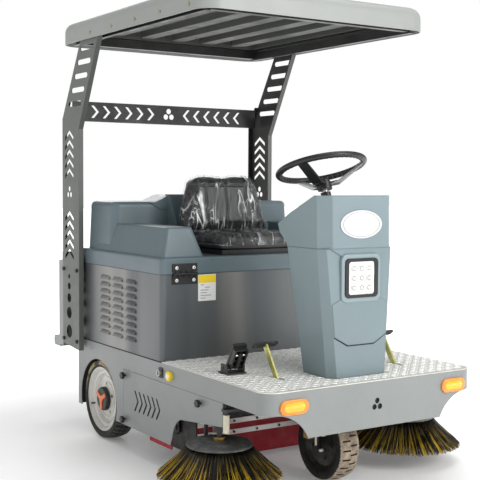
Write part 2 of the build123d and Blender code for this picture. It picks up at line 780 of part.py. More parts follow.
def wheel_plane(x, y, z):
    """Plane through a wheel centre whose local X is the radius and local Y the axle direction."""
    return Plane(origin=(x, y, z), x_dir=(1, 0, 0), z_dir=(0, 0, 1))


FRONT_CENTRE = (FRONT_WHEEL_X, 0, FRONT_TYRE_R)
FRONT_AXIS = Axis(FRONT_CENTRE, (0, 1, 0))
with BuildPart() as front_tyre:
    with BuildSketch(wheel_plane(*FRONT_CENTRE)):
        tyre_section(FRONT_TYRE_R, FRONT_RIM_R, FRONT_TYRE_W, 8)
    revolve(axis=FRONT_AXIS)
    # tread blocks: two staggered rows of cross grooves
    with Locations(Location(FRONT_CENTRE, (90, 0, 0))):
        with PolarLocations(FRONT_TYRE_R, 24):
            Box(14, 7, 36, align=(Align.CENTER, Align.CENTER, Align.MIN), mode=Mode.SUBTRACT)
        with PolarLocations(FRONT_TYRE_R, 24, start_angle=7.5):
            Box(14, 7, 36, align=(Align.CENTER, Align.CENTER, Align.MAX), mode=Mode.SUBTRACT)
save(front_tyre, "front_tyre")

with BuildPart() as front_rim:
    with BuildSketch(wheel_plane(*FRONT_CENTRE)):
        with BuildLine():
            Polyline(
                (10 + AXLE_FIT, -56),
                (30, -56),
                (34, -30),
                (88, -30),
                (FRONT_RIM_R, -40.5),
                (FRONT_RIM_R, 40.5),
                (88, 30),
                (34, 30),
                (30, 56),
                (10 + AXLE_FIT, 56),
                (10 + AXLE_FIT, -56),
            )
        make_face()
    revolve(axis=FRONT_AXIS)
    with Locations(Location(FRONT_CENTRE, (90, 0, 0))):
        with PolarLocations(60, 5):
            Cylinder(7, 74)
save(front_rim, "front_rim")

# ------------------------------------------------------------------ rear axle and wheels
with BuildPart() as rear_axle:
    with Locations(Location((REAR_WHEEL[0], 0, REAR_WHEEL[2]), (90, 0, 0))):
        Cylinder(29.9, 776)
        Cylinder(46, 170)
        Cylinder(14, 1000)
    # drive motor on the axle housing
    with Locations(Location((REAR_WHEEL[0] + 40, 150, REAR_WHEEL[2] - 8), (90, 0, 0))):
        Cylinder(42, 130)
save(rear_axle, "rear_axle")

REAR_CENTRE = (REAR_WHEEL[0], -REAR_WHEEL[1], REAR_WHEEL[2])
REAR_AXIS = Axis(REAR_CENTRE, (0, 1, 0))
with BuildPart() as rear_tyre_right:
    with BuildSketch(wheel_plane(*REAR_CENTRE)):
        tyre_section(REAR_TYRE_R, REAR_RIM_R, REAR_TYRE_W, 6)
    revolve(axis=REAR_AXIS)
    # circumferential grooves
    with BuildSketch(wheel_plane(*REAR_CENTRE)):
        with Locations((REAR_TYRE_R, -16), (REAR_TYRE_R, 0), (REAR_TYRE_R, 16)):
            Rectangle(8, 4)
    revolve(axis=REAR_AXIS, mode=Mode.SUBTRACT)
save(rear_tyre_right, "rear_tyre_right")

with BuildPart() as rear_rim_right:
    # outer face is towards -Y
    with BuildSketch(wheel_plane(*REAR_CENTRE)):
        with BuildLine():
            Polyline(
                (14 + AXLE_FIT, -26),
                (44, -26),
                (64, -20),
                (110, -14),
                (119, -24),
                (132, -26),
                (REAR_RIM_R - 11, -40),
                (REAR_RIM_R, -40),
                (REAR_RIM_R, 38),
                (REAR_RIM_R - 13, 34),
                (126, 6),
                (60, 6),
                (40, 34),
                (14 + AXLE_FIT, 34),
                (14 + AXLE_FIT, -26),
            )
        make_face()
    revolve(axis=REAR_AXIS)
save(rear_rim_right, "rear_rim_right")

with BuildPart() as hub_cap_right:
    with BuildSketch(side_plane(-REAR_CENTRE[1] + 26.1)):
        with Locations((REAR_CENTRE[0], REAR_CENTRE[2])):
            Circle(56)
    extrude(amount=20)
    fillet(hub_cap_right.faces().sort_by(Axis.Y)[0].edges(), 8)
    with BuildSketch(side_plane(-REAR_CENTRE[1] + 46)):
        with Locations((REAR_CENTRE[0], REAR_CENTRE[2])):
            Circle(16)
            with PolarLocations(25, 3, start_angle=30):
                Rectangle(50, 19)
    extrude(amount=4)
    with BuildSketch(side_plane(-REAR_CENTRE[1] + 20)):
        with Locations((REAR_CENTRE[0], REAR_CENTRE[2])):
            Circle(16)
    extrude(amount=22, mode=Mode.SUBTRACT)
save(hub_cap_right, "hub_cap_right")
rear_tyre_left = mirrored(rear_tyre_right, "rear_tyre_left")
rear_rim_left = mirrored(rear_rim_right, "rear_rim_left")
hub_cap_left = mirrored(hub_cap_right, "hub_cap_left")

# ------------------------------------------------------------------ brushes
BRUSH_SEAT_Z = SIDE_DISC_Z + 24.0
with BuildPart() as side_arm_right:
    # sleeve on the guide rod, arm, brush motor and its drive spindle
    with Locations((LIFT_ROD[0], -LIFT_ROD[1], 250)):
        Cylinder(17, 80, align=(Align.CENTER, Align.CENTER, Align.MIN))
    with BuildSketch(Plane.XY.offset(268)):
        with BuildLine():
            Polyline(
                (LIFT_ROD[0], -LIFT_ROD[1] - 15),
                (SIDE_BRUSH[0], -SIDE_BRUSH[1] - 22),
                (SIDE_BRUSH[0], -SIDE_BRUSH[1] + 26),
                (LIFT_ROD[0], -LIFT_ROD[1] + 15),
                (LIFT_ROD[0], -LIFT_ROD[1] - 15),
            )
        make_face()
    extrude(amount=14)
    with Locations((SIDE_BRUSH[0], -SIDE_BRUSH[1], 244)):
        Cylinder(27, 26, align=(Align.CENTER, Align.CENTER, Align.MIN))
    with Locations((SIDE_BRUSH[0], -SIDE_BRUSH[1], 270)):
        Cylinder(25, 84, align=(Align.CENTER, Align.CENTER, Align.MIN))
    with Locations((SIDE_BRUSH[0], -SIDE_BRUSH[1], SIDE_DISC_Z + 4)):
        Cylinder(10, 60, align=(Align.CENTER, Align.CENTER, Align.MIN))
    with Locations((LIFT_ROD[0], -LIFT_ROD[1], 240)):
        Cylinder(9 + AXLE_FIT, 100, align=(Align.CENTER, Align.CENTER, Align.MIN), mode=Mode.SUBTRACT)
save(side_arm_right, "side_arm_right")

BRISTLE_PLANE = Plane(origin=(SIDE_BRUSH[0], -SIDE_BRUSH[1], 0), x_dir=(1, 0, 0), z_dir=(0, -1, 0))
BRUSH_AXIS = Axis((SIDE_BRUSH[0], -SIDE_BRUSH[1], 0), (0, 0, 1))
with BuildPart() as side_brush_disc_right:
    # flat underside, short rim, long sloping shoulder
    with BuildSketch(BRISTLE_PLANE):
        with BuildLine():
            Polyline(
                (0, SIDE_DISC_Z),
                (SIDE_DISC_R, SIDE_DISC_Z),
                (SIDE_DISC_R + 1, SIDE_DISC_Z + 7),
                (SIDE_DISC_R - 5, SIDE_DISC_Z + 11),
                (84, SIDE_DISC_Z + 21),
                (0, SIDE_DISC_Z + 21),
                (0, SIDE_DISC_Z),
            )
        make_face()
    revolve(axis=BRUSH_AXIS)
    with Locations((SIDE_BRUSH[0], -SIDE_BRUSH[1], SIDE_DISC_Z + 18)):
        Cylinder(24, 16, align=(Align.CENTER, Align.CENTER, Align.MIN))
    with Locations((SIDE_BRUSH[0], -SIDE_BRUSH[1], SIDE_DISC_Z + 3)):
        Cylinder(10 + AXLE_FIT, 60, align=(Align.CENTER, Align.CENTER, Align.MIN), mode=Mode.SUBTRACT)
save(side_brush_disc_right, "side_brush_disc_right")

with BuildPart() as side_bristles_right:
    with BuildSketch(BRISTLE_PLANE):
        with BuildLine():
            Spline((98, SIDE_DISC_Z - 0.2), (140, 138), (216, SIDE_BRUSH_TIP_Z), tangents=((0.45, -1), (1, -0.6)))
            Line((216, SIDE_BRUSH_TIP_Z), (SIDE_BRUSH_R, SIDE_BRUSH_TIP_Z + 5))
            Spline((SIDE_BRUSH_R, SIDE_BRUSH_TIP_Z + 5), (188, 136), (127, SIDE_DISC_Z - 0.2),
                   tangents=((-1, 0.86), (-0.9, 1)))
            Line((127, SIDE_DISC_Z - 0.2), (98, SIDE_DISC_Z - 0.2))
        make_face()
    revolve(axis=BRUSH_AXIS)
save(side_bristles_right, "side_bristles_right")
side_arm_left = mirrored(side_arm_right, "side_arm_left")
side_brush_disc_left = mirrored(side_brush_disc_right, "side_brush_disc_left")
side_bristles_left = mirrored(side_bristles_right, "side_bristles_left")

with BuildPart() as brush_tunnel:
    with Locations((MAIN_BRUSH[0], 0, 222.5)):
        Box(322, 736, 364.8)
    with Locations((MAIN_BRUSH[0], 0, 219.5)):
        Box(316, 730, 364.8, mode=Mode.SUBTRACT)
    # throw opening into the hopper
    with Locations((MAIN_BRUSH[0] - 161, 0, 318)):
        Box(20, 700, 110, mode=Mode.SUBTRACT)
    # axle openings
    with Locations(Location((MAIN_BRUSH[0], 0, MAIN_BRUSH[1]), (90, 0, 0))):
        Cylinder(30, 800, mode=Mode.SUBTRACT)
save(brush_tunnel, "brush_tunnel")

with BuildPart() as tunnel_flaps:
    with Locations((MAIN_BRUSH[0] + 163.5, 0, 104)):
        Box(4, 730, 168)
    with Locations((MAIN_BRUSH[0] - 163.5, 0, 84)):
        Box(4, 730, 128)
    for side in (-1, 1):
        with Locations((MAIN_BRUSH[0] + 106, side * 510, 142)):
            Box(196, 4, 84)
save(tunnel_flaps, "tunnel_flaps")

with BuildPart() as flap_strips:
    for x, z in ((MAIN_BRUSH[0] + 167, 128), (MAIN_BRUSH[0] + 167, 176), (MAIN_BRUSH[0] - 167, 128)):
        with Locations((x, 0, z)):
            Box(2.8, 730, 22)
        sign = 1 if x > MAIN_BRUSH[0] else -1
        with Locations((x + sign * 3.4, 0, z)):
            with GridLocations(1, 120, 1, 6):
                Cylinder(6, 4, rotation=(0, 90, 0))
save(flap_strips, "flap_strips")

with BuildPart() as main_brush:
    with Locations(Location((MAIN_BRUSH[0], 0, MAIN_BRUSH[1]), (90, 0, 0))):
        Cylinder(52, 690)
        Cylinder(14, 766)
        # bristle rows standing on the core
        with PolarLocations(0, 12):
            with Locations((MAIN_BRUSH_R / 2 + 20, 0, 0)):
                Box(MAIN_BRUSH_R - 40, 16, 680)
    with BuildSketch(side_plane(-400)):
        with Locations((MAIN_BRUSH[0], MAIN_BRUSH[1])):
            Circle(MAIN_BRUSH_R)
    extrude(amount=800, mode=Mode.INTERSECT)
save(main_brush, "main_brush")

with BuildPart() as debris_hopper:
    with Locations((-405, 0, 318)):
        Box(440, 700, 150)
    with Locations((-405, 0, 324)):
        Box(434, 694, 150, mode=Mode.SUBTRACT)
    with Locations((-186, 0, 333)):
        Box(20, 660, 100, mode=Mode.SUBTRACT)
    # pull handle on the rear wall
    for y in (-60, 60):
        with Locations((-636, y, 330)):
            Box(24, 10, 10)
    with Locations((-650, 0, 330)):
        Box(10, 130, 12)
save(debris_hopper, "debris_hopper")

# ------------------------------------------------------------------ foot controls
with BuildPart() as pedal_base:
    with Locations((506, -402, DECK_TOP + 0.2)):
        Box(72, 88, 6, align=(Align.CENTER, Align.CENTER, Align.MIN))
    for y in (-441, -363):
        with Locations((512, y, DECK_TOP + 6)):
            Box(44, 8, 34, align=(Align.CENTER, Align.CENTER, Align.MIN))
    with Locations((PEDAL_PIVOT[0], PEDAL_PIVOT[1], PEDAL_PIVOT[2])):
        Cylinder(5 + AXLE_FIT, 120, rotation=(90, 0, 0), mode=Mode.SUBTRACT)
save(pedal_base, "pedal_base")

PEDAL = Plane(origin=PEDAL_PIVOT, x_dir=(0, 1, 0), z_dir=Vector(1, 0, 0).rotate(Axis.Y, 28))
with BuildPart() as accelerator_pedal:
    with Locations(Location(PEDAL_PIVOT, (90, 0, 0))):
        Cylinder(5, 82)
        Cylinder(9, 68)
    with BuildSketch(PEDAL.offset(-4)):
        with Locations((0, 58)):
            RectangleRounded(66, 108, 8)
    extrude(amount=10)
    # grip bars on the tread side
    for height in (24, 40, 56, 72, 88, 100):
        with BuildSketch(PEDAL.offset(-6.5)):
            with Locations((0, height)):
                Rectangle(56, 6)
        extrude(amount=4)
    # deep cheeks, middle rib and cross ribs on the back
    with BuildSketch(PEDAL.offset(4)):
        with Locations((-28, 52), (28, 52)):
            Rectangle(7, 88)
        with Locations((0, 46)):
            Rectangle(16, 72)
    extrude(amount=24)
    with BuildSketch(PEDAL.offset(4)):
        with Locations((0, 18), (0, 44), (0, 92)):
            Rectangle(58, 7)
    extrude(amount=18)
    # round cross pin
    with Locations(PEDAL.location * Location((0, 70, 20), (0, 90, 0))):
        Cylinder(4.5, 60)
save(accelerator_pedal, "accelerator_pedal")

LEVER_TOP = (590.0, 583.0)
LEVER_LEAN = 33.2
LEVER_PLANE = Plane(origin=(LEVER[0], -LEVER[1], LEVER[2]), x_dir=(0, 1, 0),
                    z_dir=Vector(0, 0, 1).rotate(Axis.Y, -LEVER_LEAN))
with BuildPart() as lift_lever_right:
    with BuildSketch(LEVER_PLANE):
        Rectangle(8, 24)
    extrude(amount=176)
    with Locations(Location((LEVER[0], -LEVER[1], LEVER[2]), (90, 0, 0))):
        Cylinder(13, 8)
    # foot plate across the end of the bar
    with BuildSketch(LEVER_PLANE.offset(174)):
        RectangleRounded(110, 36, 8)
    extrude(amount=8)
    with Locations(Location((LEVER[0], -LEVER[1], LEVER[2]), (90, 0, 0))):
        Cylinder(6, 40, mode=Mode.SUBTRACT)
save(lift_lever_right, "lift_lever_right")
lift_lever_left = mirrored(lift_lever_right, "lift_lever_left")

with BuildPart() as ignition_key:
    key_plane = Plane(origin=(604, -110, 1107), x_dir=(0, 1, 0), z_dir=Vector(0, 0, 1).rotate(Axis.Y, -23.8))
    with BuildSketch(key_plane):
        Circle(9)
    extrude(amount=8)
    with BuildSketch(key_plane.offset(8)):
        RectangleRounded(30, 7, 3)
    extrude(amount=20)
save(ignition_key, "ignition_key")

# ------------------------------------------------------------------ cover and seat
COVER_LOW = CABINET_TOP - 0.3
HUMP_REAR = -655.0
HUMP_FRONT = -364.0
HUMP_MID = (HUMP_REAR + HUMP_FRONT) / 2
HUMP_TOP = 1127.0
with BuildPart() as cover_hump:
    # full-width rear hump with rounded corners and a soft top edge
    with BuildSketch(Plane.XY.offset(RIM_TOP - 12)) as hump_base:
        with Locations((HUMP_MID, 0)):
            Rectangle(HUMP_FRONT - HUMP_REAR, 1004)
        fillet(hump_base.vertices(), 40)
    with BuildSketch(Plane.XY.offset(HUMP_TOP)) as hump_top:
        with Locations((HUMP_MID - 2, 0)):
            Rectangle(HUMP_FRONT - HUMP_REAR - 20, 984)
        fillet(hump_top.vertices(), 38)
    loft(ruled=True)
    fillet(cover_hump.faces().sort_by(Axis.Z)[-1].outer_wire().edges(), 24)

with BuildPart() as cover_ridge:
    # higher middle, narrow at the rear and wider at the front, with concave flanks
    with BuildSketch(front_plane(HUMP_REAR + 8)):
        with BuildLine():
            Polyline((-190, 1090), (-238, 1120), (-205, 1127), (-172, 1141), (-146, 1154), (-124, 1158),
                     (124, 1158), (146, 1154), (172, 1141), (205, 1127), (238, 1120), (190, 1090), (-190, 1090))
        make_face()
    with BuildSketch(front_plane(HUMP_FRONT - 8)):
        with BuildLine():
            Polyline((-250, 1090), (-304, 1120), (-270, 1127), (-237, 1141), (-211, 1156), (-188, 1161),
                     (188, 1161), (211, 1156), (237, 1141), (270, 1127), (304, 1120), (250, 1090), (-250, 1090))
        make_face()
    loft(ruled=True)

with BuildPart() as cover_nose:
    # sloping front of the middle, behind the back rest
    with BuildSketch(Plane.XZ.offset(-206)):
        with BuildLine():
            Polyline(
                (HUMP_FRONT - 40, 1161),
                (HUMP_FRONT - 8, 1161),
                (HUMP_FRONT + 6, 1152),
                (-296, 1030),
                (-296, RIM_TOP - 10),
                (HUMP_FRONT - 40, RIM_TOP - 10),
                (HUMP_FRONT - 40, 1161),
            )
        make_face()
    extrude(amount=412)

with BuildPart() as cover_block:
    # low block beside the seat, sloping down to the rim on every side
    with BuildSketch(Plane.XY.offset(RIM_TOP - 10)) as block_base:
        Polygon((128, -511), (128, -300), (-575, -300), (-575, -511), align=None)
        fillet(block_base.vertices().group_by(Axis.X)[-1], 16)
    with BuildSketch(Plane.XY.offset(1026)) as block_top:
        Polygon((100, -474), (100, -350), (-400, -350), (-400, -474), align=None)
        fillet(block_top.vertices().group_by(Axis.X)[-1], 14)
    loft(ruled=True)
    fillet(cover_block.faces().sort_by(Axis.Z)[-1].outer_wire().edges(), 9)

with BuildPart() as top_cover:
    # straight rim
    with BuildSketch(Plane.XY.offset(COVER_LOW)) as rim_plan:
        cabinet_outline(-1)
        fillet(rim_plan.vertices().group_by(Axis.X)[-1], CABINET_R + 1)
        fillet(rim_plan.vertices().group_by(Axis.X)[0], 14)
    extrude(amount=RIM_TOP - COVER_LOW)
    fillet(top_cover.faces().sort_by(Axis.Z)[-1].outer_wire().edges(), 9)
    add(cover_hump.part)
    add(cover_ridge.part)
    add(cover_nose.part)
    add(cover_block.part)
    add(cover_block.part.mirror(Plane.XZ))
    # hollow underside
    with BuildSketch(Plane.XY.offset(COVER_LOW)):
        with Locations(((BODY_REAR + DECK_REAR) / 2, 0)):
            RectangleRounded(DECK_REAR - BODY_REAR - 44, 2 * HALF_WIDTH - 44, 18)
    extrude(amount=62, mode=Mode.SUBTRACT)
    with Locations((-510, 0, 985)):
        Box(220, 860, 200, mode=Mode.SUBTRACT)
save(top_cover, "top_cover")

with BuildPart() as seat_base:
    with Locations((-95, 0, RIM_TOP + 0.2)):
        Box(400, 400, 22, align=(Align.CENTER, Align.CENTER, Align.MIN))
    # back rest bracket
    with Locations((-264, 0, RIM_TOP + 10)):
        Box(8, 300, 132, align=(Align.CENTER, Align.CENTER, Align.MIN))
save(seat_base, "seat_base")

with BuildPart() as seat_cushion:
    with BuildSketch(Plane.XY.offset(RIM_TOP + 23)):
        with Locations((-50, 0)):
            RectangleRounded(370, 440, 60)
    with BuildSketch(Plane.XY.offset(RIM_TOP + 84)):
        with Locations((-50, 0)):
            RectangleRounded(350, 420, 60)
    loft()
    fillet(seat_cushion.faces().sort_by(Axis.Z)[-1].edges(), 22)
save(seat_cushion, "seat_cushion")

BACK = Plane(origin=(-250, 0, 984.5), x_dir=(0, 1, 0), z_dir=Vector(1, 0, 0).rotate(Axis.Y, -8))
with BuildPart() as seat_back:
    with BuildSketch(BACK) as back_outline:
        with BuildLine():
            Polyline((-236, 0), (236, 0), (214, 140), (168, 261), (-168, 261), (-214, 140), (-236, 0))
        make_face()
        fillet(back_outline.vertices().group_by(Axis.Y)[-1], 55)
        fillet(back_outline.vertices().group_by(Axis.Y)[0], 14)
    extrude(amount=84)
    fillet(seat_back.faces().sort_by(Axis.X)[-1].edges(), 24)
save(seat_back, "seat_back")

HINGE_X = DECK_REAR + 9.0
with BuildPart() as hinge_fixed:
    for side in (-1, 1):
        with Locations((DECK_REAR + 2.3, side * 410, CABINET_TOP - 26.5)):
            Box(4, 122, 35)
        for y in (-52, -26, 0, 26, 52):
            with Locations((HINGE_X, side * 410 + y, CABINET_TOP)):
                Cylinder(6.5, 13, rotation=(90, 0, 0))
            with Locations((DECK_REAR + 5, side * 410 + y, CABINET_TOP - 8)):
                Box(9, 13, 12)
        for y in (-42, 42):
            with Locations((DECK_REAR + 5.5, side * 410 + y, CABINET_TOP - 27)):
                Cylinder(6, 4, rotation=(0, 90, 0))
        with Locations((HINGE_X, side * 410, CABINET_TOP)):
            Cylinder(3 + AXLE_FIT, 130, rotation=(90, 0, 0), mode=Mode.SUBTRACT)
save(hinge_fixed, "hinge_fixed")

with BuildPart() as hinge_moving:
    for side in (-1, 1):
        with Locations((DECK_REAR + 3.4, side * 410, CABINET_TOP + 26.5)):
            Box(4, 122, 35)
        for y in (-39, -13, 13, 39):
            with Locations((HINGE_X, side * 410 + y, CABINET_TOP)):
                Cylinder(6.5, 12.4, rotation=(90, 0, 0))
            with Locations((DECK_REAR + 5.6, side * 410 + y, CABINET_TOP + 8)):
                Box(8, 12.4, 12)
        for y in (-42, 42):
            with Locations((DECK_REAR + 6.6, side * 410 + y, CABINET_TOP + 27)):
                Cylinder(6, 4, rotation=(0, 90, 0))
        with Locations((HINGE_X, side * 410, CABINET_TOP)):
            Cylinder(3, 118, rotation=(90, 0, 0))
save(hinge_moving, "hinge_moving")
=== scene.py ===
import json
import math
import random

import bmesh
import bpy
from mathutils import Matrix, Vector, noise


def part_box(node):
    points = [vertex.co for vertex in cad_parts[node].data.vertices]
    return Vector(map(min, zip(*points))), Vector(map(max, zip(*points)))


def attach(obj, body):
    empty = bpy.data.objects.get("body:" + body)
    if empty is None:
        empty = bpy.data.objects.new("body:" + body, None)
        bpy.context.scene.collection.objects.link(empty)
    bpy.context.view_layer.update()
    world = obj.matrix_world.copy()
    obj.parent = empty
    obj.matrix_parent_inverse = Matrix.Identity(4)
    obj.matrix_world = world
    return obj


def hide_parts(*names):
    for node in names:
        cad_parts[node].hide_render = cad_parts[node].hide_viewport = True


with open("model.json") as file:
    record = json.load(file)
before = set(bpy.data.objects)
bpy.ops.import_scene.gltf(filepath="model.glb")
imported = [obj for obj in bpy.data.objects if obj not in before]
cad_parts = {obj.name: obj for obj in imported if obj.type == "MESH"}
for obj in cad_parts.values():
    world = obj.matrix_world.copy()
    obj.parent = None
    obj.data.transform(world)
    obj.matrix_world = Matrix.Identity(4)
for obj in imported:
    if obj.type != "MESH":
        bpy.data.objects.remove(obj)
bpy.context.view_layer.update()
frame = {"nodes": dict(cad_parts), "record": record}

nodes = frame["nodes"]

# places of the CAD model that several pieces share, in metres
REAR_AXLE = Vector((-0.485, 0.0, 0.188))
REAR_WHEEL_Y = 0.459
FRONT_AXLE = Vector((0.615, 0.0, 0.150))
SIDE_BRUSH_X, SIDE_BRUSH_Y = 0.540, 0.480
ROLLER_AXLE = Vector((0.010, 0.0, 0.136))
WHEEL_AT = Vector((0.550, 0.0, 1.280))
WHEEL_TILT = math.radians(17.5)
STEER_UP = Vector((-math.sin(WHEEL_TILT), 0, math.cos(WHEEL_TILT)))
STEER_AHEAD = Vector((STEER_UP.z, 0, -STEER_UP.x))
FIRST_SPOKE = -63
SIDES = ((-1, "right"), (1, "left"))


# ---- node helpers
class Shader:
    """Small wrapper that builds a node material."""

    def __init__(self, name):
        self.mat = bpy.data.materials.new(name)
        self.mat.use_nodes = True
        self.nodes = self.mat.node_tree.nodes
        self.links = self.mat.node_tree.links
        self.bsdf = self.nodes["Principled BSDF"]
        self.coord = self.nodes.new("ShaderNodeTexCoord")

    def set(self, **values):
        """Set sockets of the shader; an underscore stands for the space in a socket's name."""
        for key, value in values.items():
            self.bsdf.inputs[key.replace("_", " ")].default_value = value

    def mapping(self, scale=(1, 1, 1), rotation=(0, 0, 0)):
        node = self.nodes.new("ShaderNodeMapping")
        node.inputs["Scale"].default_value = scale
        node.inputs["Rotation"].default_value = rotation
        self.links.new(self.coord.outputs["Object"], node.inputs["Vector"])
        return node.outputs["Vector"]

    def xyz(self):
        """The three object coordinates."""
        node = self.nodes.new("ShaderNodeSeparateXYZ")
        self.links.new(self.coord.outputs["Object"], node.inputs[0])
        return node.outputs["X"], node.outputs["Y"], node.outputs["Z"]

    def noise(self, scale, detail=3.0, rough=0.5, vector=None, distortion=0.0):
        node = self.nodes.new("ShaderNodeTexNoise")
        node.inputs["Scale"].default_value = scale
        node.inputs["Detail"].default_value = detail
        node.inputs["Roughness"].default_value = rough
        node.inputs["Distortion"].default_value = distortion
        self.links.new(vector or self.mapping(), node.inputs["Vector"])
        return node.outputs["Fac"]

    def cells(self, scale):
        """Distance to the nearest edge of a cell pattern."""
        node = self.nodes.new("ShaderNodeTexVoronoi")
        node.feature = "DISTANCE_TO_EDGE"
        node.inputs["Scale"].default_value = scale
        self.links.new(self.mapping(), node.inputs["Vector"])
        return node.outputs["Distance"]

    def math(self, kind, a, b=0.0, c=0.0):
        node = self.nodes.new("ShaderNodeMath")
        node.operation = kind
        for index, value in enumerate((a, b, c)):
            if isinstance(value, (int, float)):
                node.inputs[index].default_value = value
            else:
                self.links.new(value, node.inputs[index])
        return node.outputs[0]

    def rising(self, value, slope, offset, soft):
        """From 0 to 1 as the value rises, rounded off at the top."""
        line = self.math("MAXIMUM", self.math("MULTIPLY_ADD", value, slope, offset), 0.0)
        return self.math("SMOOTH_MIN", line, 1.0, soft)

    def ramp(self, fac, stops):
        node = self.nodes.new("ShaderNodeValToRGB")
        while len(node.color_ramp.elements) < len(stops):
            node.color_ramp.elements.new(0.5)
        for element, (pos, colour) in zip(node.color_ramp.elements, stops):
            element.position = pos
            if isinstance(colour, (int, float)):
                colour = (colour, colour, colour)
            element.color = (*colour, 1.0)
        self.links.new(fac, node.inputs["Fac"])
        return node.outputs["Color"]

    def mix(self, fac, a, b):
        node = self.nodes.new("ShaderNodeMix")
        node.data_type = "RGBA"
        for socket, value in ((node.inputs["Factor"], fac), (node.inputs["A"], a), (node.inputs["B"], b)):
            if isinstance(value, (int, float)):
                socket.default_value = value if socket.name == "Factor" else (value, value, value, 1)
            elif isinstance(value, tuple):
                socket.default_value = (*value, 1.0)
            else:
                self.links.new(value, socket)
        return next(o for o in node.outputs if o.type == "RGBA")

    def bump(self, height, distance, strength=1.0, edge=0.0):
        """Relief from a height, over edges rounded by the radius in edge."""
        node = self.nodes.new("ShaderNodeBump")
        node.inputs["Distance"].default_value = distance
        node.inputs["Strength"].default_value = strength
        self.links.new(height, node.inputs["Height"])
        if edge:
            bevel = self.nodes.new("ShaderNodeBevel")
            bevel.samples = 4
            bevel.inputs["Radius"].default_value = edge
            self.links.new(bevel.outputs["Normal"], node.inputs["Normal"])
        self.links.new(node.outputs["Normal"], self.bsdf.inputs["Normal"])

    def colour(self, socket):
        self.links.new(socket, self.bsdf.inputs["Base Color"])

    def rough(self, socket):
        self.links.new(socket, self.bsdf.inputs["Roughness"])


def lin(r, g, b):
    """sRGB 0-255 to linear."""
    shares = (c / 255 for c in (r, g, b))
    return tuple(c / 12.92 if c < 0.04045 else ((c + 0.055) / 1.055) ** 2.4 for c in shares)


def tint(colour, factor):
    return tuple(min(1.0, c * factor) for c in colour)


FLOOR_DUST = (0.42, 0.40, 0.36)


def worn(name, base, rough=0.45, spread=0.10, grain=420.0, grain_depth=0.00006, edge=0.0018, cloud=1.8,
         dust=0.10, coat=0.0):
    """Paint or plastic: cloudy tone, fine grain, edge rounding and a little dust near the floor."""
    s = Shader(name)
    s.set(Metallic=0.0)
    if coat:
        s.set(Coat_Weight=coat, Coat_Roughness=0.12)
    clouds = s.noise(cloud, 5.0, 0.55, None, 0.3)
    colour = s.ramp(clouds, [(0.25, tint(base, 0.92)), (0.75, tint(base, 1.08))])
    if dust:
        height = s.xyz()[2]
        fade = s.math("MAXIMUM", s.math("MULTIPLY_ADD", height, -1.6, 0.75), 0.0)
        speck = s.ramp(s.noise(26.0, 6.0, 0.65), [(0.42, 0.0), (0.74, 1.0)])
        amount = s.math("MULTIPLY", s.math("MULTIPLY", fade, speck), dust * 2.4)
        amount = s.math("ADD", amount, s.math("MULTIPLY", speck, dust * 0.25))
        colour = s.mix(amount, colour, FLOOR_DUST)
    s.colour(colour)
    sheen = [(0.3, max(0.02, rough - spread)), (0.7, min(1.0, rough + spread))]
    s.rough(s.ramp(s.noise(9.0, 5.0, 0.6), sheen))
    s.bump(s.noise(grain, 2.0, 0.5), grain_depth, 1.0, edge)
    return s.mat


MAT = {}
# sRGB colour, roughness and its spread, grain scale and depth, edge radius, then other values of worn()
PAINTS = {
    "grey_paint": ((134, 138, 137), 0.42, 0.06, 520, 0.00004, 0.0016, {"coat": 0.15}),
    "black_steel": ((27, 27, 27), 0.42, 0.10, 380, 0.00006, 0.0014, {"dust": 0.10}),
    "post_grey": ((96, 99, 95), 0.46, 0.08, 420, 0.00005, 0.0016, {"dust": 0.08}),
    # the next two are painted shade: darker copies of the post paint for the post faces that lie in shadow
    "post_inside_shade": ((26, 28, 26), 0.6, 0.10, 380, 0.00006, 0.0014, {"dust": 0.06}),
    "post_shade": ((78, 80, 77), 0.5, 0.10, 380, 0.00006, 0.0014, {"dust": 0.10}),
    "roof_grey": ((146, 149, 146), 0.40, 0.08, 300, 0.00005, 0.002, {"cloud": 1.2, "dust": 0.04}),
    "liner_dark": ((66, 68, 64), 0.55, 0.12, 260, 0.00025, 0.003, {"cloud": 3.0, "dust": 0.03}),
    "blue_grey_plastic": ((122, 138, 143), 0.42, 0.07, 240, 0.00010, 0.006, {"cloud": 2.2, "dust": 0.05}),
    "cover_plastic": ((94, 110, 116), 0.36, 0.09, 240, 0.00010, 0.007, {"cloud": 1.6, "dust": 0.05}),
    "bezel_plastic": ((140, 156, 160), 0.35, 0.06, 300, 0.00006, 0.004, {"dust": 0.02}),
    "dark_plastic": ((21, 21, 22), 0.38, 0.10, 340, 0.00012, 0.0012, {"dust": 0.08}),
    "brush_disc": ((66, 69, 68), 0.55, 0.12, 160, 0.0003, 0.002, {"dust": 0.25}),
    "silver_rim": ((214, 212, 206), 0.32, 0.08, 300, 0.00006, 0.002,
                   {"dust": 0.35, "cloud": 6.0, "coat": 0.3}),
    "badge_white": ((222, 222, 222), 0.22, 0.04, 300, 0.00002, 0.001, {"dust": 0.0, "coat": 0.6}),
    "yellow_label": ((246, 214, 40), 0.4, 0.05, 300, 0.00002, 0.0005, {"dust": 0.0}),
    "white_label": ((238, 238, 236), 0.42, 0.05, 300, 0.00002, 0.0005, {"dust": 0.0}),
    "grey_print": ((160, 160, 158), 0.42, 0.05, 300, 0.00002, 0.0005, {"dust": 0.0}),
    # dark seam paint: real dark joints, and also painted shade for the vent and emblem plates, arch strips,
    # gill slots, screw cross cuts and the column's shadow line
    "seam_dark": ((26, 27, 28), 0.7, 0.1, 300, 0.0001, 0.0, {"dust": 0.0}),
    "dark_bolt": ((22, 22, 22), 0.5, 0.1, 300, 0.0001, 0.001, {}),
}
for key, (rgb, *numbers, more) in PAINTS.items():
    MAT[key] = worn(key.title().replace("_", ""), lin(*rgb), *numbers, **more)


